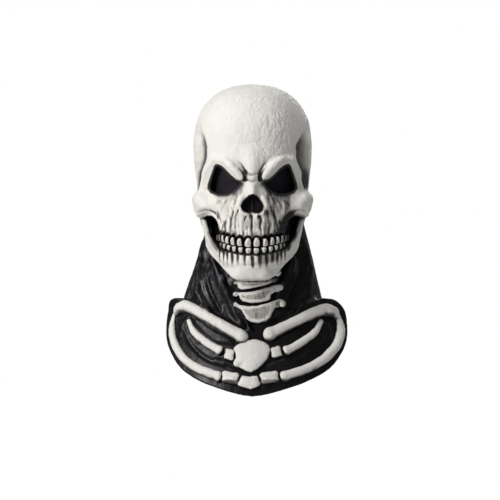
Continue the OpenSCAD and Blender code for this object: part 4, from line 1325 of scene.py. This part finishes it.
def block(name, outline, thick, seed, s=1, shape=None, lower=None, near=0.0):
    """A short flat bone with a crowned face; shape works its clay, and below lower it gets painted shade."""
    p = np.array(outline, float) * (s, 1)
    ahead = float(bib_front(*p.mean(0))) - thick
    (x0, z0), (x1, z1) = p.min(0), p.max(0)
    clay = Clay(np.array([x0, ahead, z0]) - 10, np.array([x1, ahead + thick + 12, z1]) + 10, BONE_STEP)
    x, y, z = clay.grid()
    flat = polygon_distance(x, z, p)
    crown = 1.6 * smooth(0, -9, flat)
    clay.fill(both(flat - 0.5, bib_front(x, z) - thick - crown + 1.2 - y, 5))
    if shape:
        shape(clay)
    cut_back(clay)
    paint_relief(name + "_relief", clay, name, seed, 0.6, lower, near)


def turned_box(cx, cz, w, h, angle):
    """The outline of a worn, slightly waisted box, turned by an angle in degrees."""
    c, s = math.cos(math.radians(angle)), math.sin(math.radians(angle))
    corners = ((-0.8, -1), (0.8, -0.9), (1, -0.6), (0.9, 0), (1, 0.7), (0.75, 1), (-0.75, 0.95), (-1, 0.6),
               (-0.88, 0), (-1, -0.65))
    return [(cx + u * w / 2 * c - v * h / 2 * s, cz + u * w / 2 * s + v * h / 2 * c) for u, v in corners]


def manubrium_shape(clay):
    """A swell in its middle, and a knob and a dent at its lower left."""
    x, y, z = clay.grid()
    away = np.sqrt((x / 22) ** 2 + ((z + 420) / 20) ** 2)
    clay.fill(clay.f - 1.6 * smooth(1.0, 0.2, away) * (y < bib_front(x, z) - 4))
    clay.add(blob(on_bib(-26, -434, 5), (5, 4.5, 4.5)), 4)
    clay.cut(blob(on_bib(-17, -434, 11), (3, 3, 7), (0, 40, 0)), 4)


def bib_bones():
    """Clavicles, ribs and their cartilages on both sides, and the breastbone between them."""
    for s, side in ((1, "right"), (-1, "left")):
        seed = 60 if s > 0 else 80
        path = CLAVICLE[s]
        (a, b, _), (c, d, _) = path[0], path[-1]
        knobs = (
            (a - 2, b - 2, 4, (8, 9, 10.5), 6),
            (c - 10, d + 3, 4, (12, 9, 8), 6),
            (c + 5, d - 7, 1, (6, 7, 8), 6),
        )
        long_bone(f"clavicle_{side}", path, s, 0.25, seed, knobs, near=2.5 + 2.5 * s)
        knobs = ((54, -413.5, 1.5, (6.5, 7, 8), 4),)
        long_bone(f"first_rib_{side}", FIRST_RIB, s, 0.2, seed + 3, knobs, square=True)
        knobs = ((54, -455.5, 1.5, (7, 7, 9), 4),)
        long_bone(f"second_rib_{side}", SECOND_RIB, s, 0.2, seed + 6, knobs, square=True, near=-4.0)
        block(f"first_cartilage_{side}", turned_box(38.6, -417 + 2 * s, 17.5, 19, 12), 7, seed + 9, s)
        outline = turned_box(32, -456.5, 30, 20, 6)
        block(f"second_cartilage_{side}", outline, 7.5, seed + 12, s, lower=-458, near=-5.0)
    block("manubrium", MANUBRIUM, 8.5, 100, shape=manubrium_shape)
    block("sternum_tip", STERNUM_TIP, 7.5, 103, near=-5.0)


# ---------------------------------------------------------------- foam pads and lining


def foam(name, low, high, shape, body, seed):
    """A foam pad: a signed distance, crowned and rounded, with a soft uneven skin."""
    clay = Clay(np.array(low) - 6, np.array(high) + 6, FOAM_STEP)
    clay.fill(shape(*clay.grid()))
    p, n, quads = clay.surface()
    p = p + n * (0.3 * noise(p, 14, seed) + 0.12 * noise(p, 5, seed + 1) - 0.3)[:, None]
    obj = make(name + "_foam", p, quads, FOAM, body, "foam", (name,))


def arc(c_x, c_y, radius, toward, half, height, z0, thick=12.0):
    """A curved block: its outer face has the radius about (c_x, c_y), and its middle lies toward an angle."""

    def shape(x, y, z):
        rho = np.sqrt((x - c_x) ** 2 + (y - c_y) ** 2)
        angle = np.arctan2(y - c_y, x - c_x) - math.radians(toward)
        angle = (angle + math.pi) % (2 * math.pi) - math.pi
        beyond = np.abs(angle) * radius - math.radians(half) * radius
        side = np.maximum(beyond, np.abs(z - z0) - height / 2)
        pinch = 1.6 * smooth(-9, 0, side)
        return both(np.abs(rho - radius + thick / 2) - thick / 2 + pinch, side, 5)

    return shape


def crown_shape(x, y, z):
    """A domed disc, flat below."""
    dome = both(np.sqrt(x**2 + y**2) - 46, np.sqrt(x**2 + y**2 + (z + 57.7) ** 2) - 84, 5)
    return both(dome, -z - 0.3, 0.8)


def chin_shape(x, y, z):
    """A rounded block behind the chin."""
    return both(both(np.abs(x) - 16.5, np.abs(z + 283) - 12.5, 5), np.abs(y + 112.6) - 4.2, 4)


def pads():
    """Foam that fits the mask to a head: at the crown, forehead, back, temples and chin."""
    foam("crown_pad", (-46, -46, -2), (46, 46, 28), crown_shape, "skull", 111)
    # the radius of the inside of the skull's front and back, 1 mm less, and its centre, 3 mm further in
    radius = (HALF_WIDTH - SHELL) ** 2 / (HALF_DEPTH - SHELL) - 1
    centre = radius - (HALF_DEPTH - SHELL - 3)
    size = dict(height=34, z0=WIDEST)
    for name, s, seed in (("forehead_pad", -1, 113), ("rear_pad", 1, 115)):
        low, high = (-45, min(80 * s, 120 * s), -95), (45, max(80 * s, 120 * s), -55)
        foam(name, low, high, arc(0, -s * centre, radius, 90 * s, 28, **size), "skull", seed)
    shape = arc(-36.2, 0, 130, 0, 14, **size)
    foam("temple_pad_right", (76, -34, -95), (96, 34, -55), shape, "skull", 117)
    shape = arc(36.2, 0, 130, 180, 14, **size)
    foam("temple_pad_left", (-96, -34, -95), (-76, 34, -55), shape, "skull", 119)
    foam("chin_pad", (-17, -121, -296), (17, -106, -270), chin_shape, "jaw", 121)


LINING = 4.0


def lining():
    """The inside of the skull: the plain form, moved in, open below and at the eyes and nose."""
    nu = 96
    angle = np.linspace(0, 2 * math.pi, nu, endpoint=False)
    crown = WIDEST + (RISE - LINING) * np.sin(np.linspace(0, math.pi / 2, 27)[1:] * 0.985)
    heights = np.concatenate([np.linspace(RIM_Z + 1, WIDEST, 34), crown])
    q = []
    for z in heights:
        w, front, back = (float(v) - LINING for v in rings(min(z, WIDEST)))
        shrink = (1 - max((z - WIDEST) / (RISE - LINING), 0) ** CROWN_SQUARE) ** (1 / CROWN_SQUARE)
        c, sn = np.cos(angle), np.sin(angle)
        x = w * shrink * np.sign(c) * np.abs(c) ** (2 / SQUARE)
        y = np.where(sn < 0, front, back) * shrink * np.sign(sn) * np.abs(sn) ** (2 / SQUARE)
        q.append(np.stack([x, y, np.full(nu, z)], 1))
    q = np.concatenate(q)
    # the rows run the other way round, because the lining faces inwards
    f = rows(nu, len(heights), True)[:, [0, 3, 2, 1]]
    eye, nose = polygon_distance(np.abs(q[:, 0]), q[:, 2], EYE), polygon_distance(q[:, 0], q[:, 2], NOSE)
    hole = (np.minimum(eye, nose) < 4) & (q[:, 1] < -50)
    hole |= (q[:, 1] < -60) & (q[:, 2] < -184)
    # it is pushed well inside the sculpted face too
    for _ in range(3):
        short = np.maximum(skull_clay.sample(q) + LINING + 0.2, 0) * ~hole
        q = q - skull_clay.normals(q) * short[:, None]
    q, f, _ = tidy(q, f[~hole[f].any(1)])
    q = q + 0.25 * np.stack([noise(q, 8, 131 + i) for i in range(3)], 1)
    make("skull_lining", q, f, BONE, "skull", "bone_latex", (), soot=np.full(len(q), 0.16))


finish_jaw(sculpt_jaw())
tooth_row("upper_row", UPPER_TEETH, True, "skull", "upper_teeth", 200)
tooth_row("lower_row", LOWER_TEETH, False, "jaw", "lower_teeth", 300)
see_through("eye_cloth_right", EYE, "eye_mesh_right", 1)
see_through("eye_cloth_left", EYE, "eye_mesh_left", -1)
see_through("nose_cloth", NOSE, "nose_mesh", 1)
finish_skin(sculpt_skin())
for number in range(4):
    vertebra(number)
bib_bones()
pads()
lining()
for node in ("slit_binding_left", "slit_binding_right", "loop_strip", "hook_tab"):
    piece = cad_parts[node]
    piece.data.materials.clear()
    piece.data.materials.append(TAPE)


# ---------------------------------------------------------------- camera, light and stage

# Degrees round from the front, lens and sensor in millimetres, and the rest in metres
CAMERA_TURN = 0.3
LENS, SENSOR = 180.0, 36.0
FRAME_HEIGHT = 0.830
AIM = Vector((-0.0045, 0, -0.247))
NEAR_PLANE = -0.05


def camera_and_light():
    """A long lens from the front, five lamps, and a background that looks white but lights little."""
    distance = FRAME_HEIGHT * LENS / SENSOR
    turn = math.radians(CAMERA_TURN)
    back = Vector((math.sin(turn), -math.cos(turn), 0))
    camera = bpy.data.objects.new("camera", bpy.data.cameras.new("camera"))
    camera.data.lens = LENS
    camera.data.sensor_width = SENSOR
    camera.location = AIM + back * (distance - NEAR_PLANE)
    camera.rotation_euler = (AIM - camera.location).to_track_quat("-Z", "Y").to_euler()
    bpy.context.scene.collection.objects.link(camera)
    bpy.context.scene.camera = camera

    def lamp(name, place, size, watts, colour=(1, 1, 1)):
        light = bpy.data.lights.new(name, "AREA")
        light.shape, light.size, light.energy, light.color = "DISK", size, watts, colour
        obj = bpy.data.objects.new(name, light)
        obj.location = place
        obj.rotation_euler = (Vector((0, 0, -0.2)) - Vector(place)).to_track_quat("-Z", "Y").to_euler()
        bpy.context.scene.collection.objects.link(obj)

    lamp("key", (-1.75, -1.45, 0.7), 0.9, 49, (1, 0.985, 0.97))
    lamp("top", (-0.1, -0.5, 1.5), 0.9, 8)
    lamp("fill", (1.0, -2.2, 0.0), 1.4, 3, (0.97, 0.98, 1))
    lamp("back", (0.6, 1.8, 0.7), 1.2, 16)
    lamp("side", (1.8, 1.0, 0.9), 1.2, 5)

    world = bpy.data.worlds.new("studio")
    bpy.context.scene.world = world
    world.use_nodes = True
    tree = world.node_tree
    seen, lit = tree.nodes["Background"], tree.nodes.new("ShaderNodeBackground")
    seen.inputs[0].default_value, seen.inputs[1].default_value = (1, 1, 1, 1), 1.0
    lit.inputs[0].default_value, lit.inputs[1].default_value = (1, 1, 1, 1), 0.16
    path, mix = tree.nodes.new("ShaderNodeLightPath"), tree.nodes.new("ShaderNodeMixShader")
    tree.links.new(path.outputs["Is Camera Ray"], mix.inputs[0])
    tree.links.new(lit.outputs[0], mix.inputs[1])
    tree.links.new(seen.outputs[0], mix.inputs[2])
    tree.links.new(mix.outputs[0], tree.nodes["World Output"].inputs[0])
    bpy.context.scene.view_settings.view_transform = "Standard"


def floor():
    """A pale disc 2.3 m in radius, 1.2 m below the origin."""
    m = Nodes("pale_floor")
    material = m.finish(m.mix(m.noise(3, 2), (0.9, 0.9, 0.9), (0.94, 0.94, 0.94)), 0.9, 0.1)
    turn = np.radians(np.arange(0, 360, 7.5))
    edge = [(2300 * math.sin(a), -2300 * math.cos(a), -1200) for a in turn]
    quads = [(0, k, k + 1, k + 2) for k in range(1, len(edge) - 2, 2)]
    obj = make("floor", np.array(edge), np.array(quads), material)


camera_and_light()
floor()
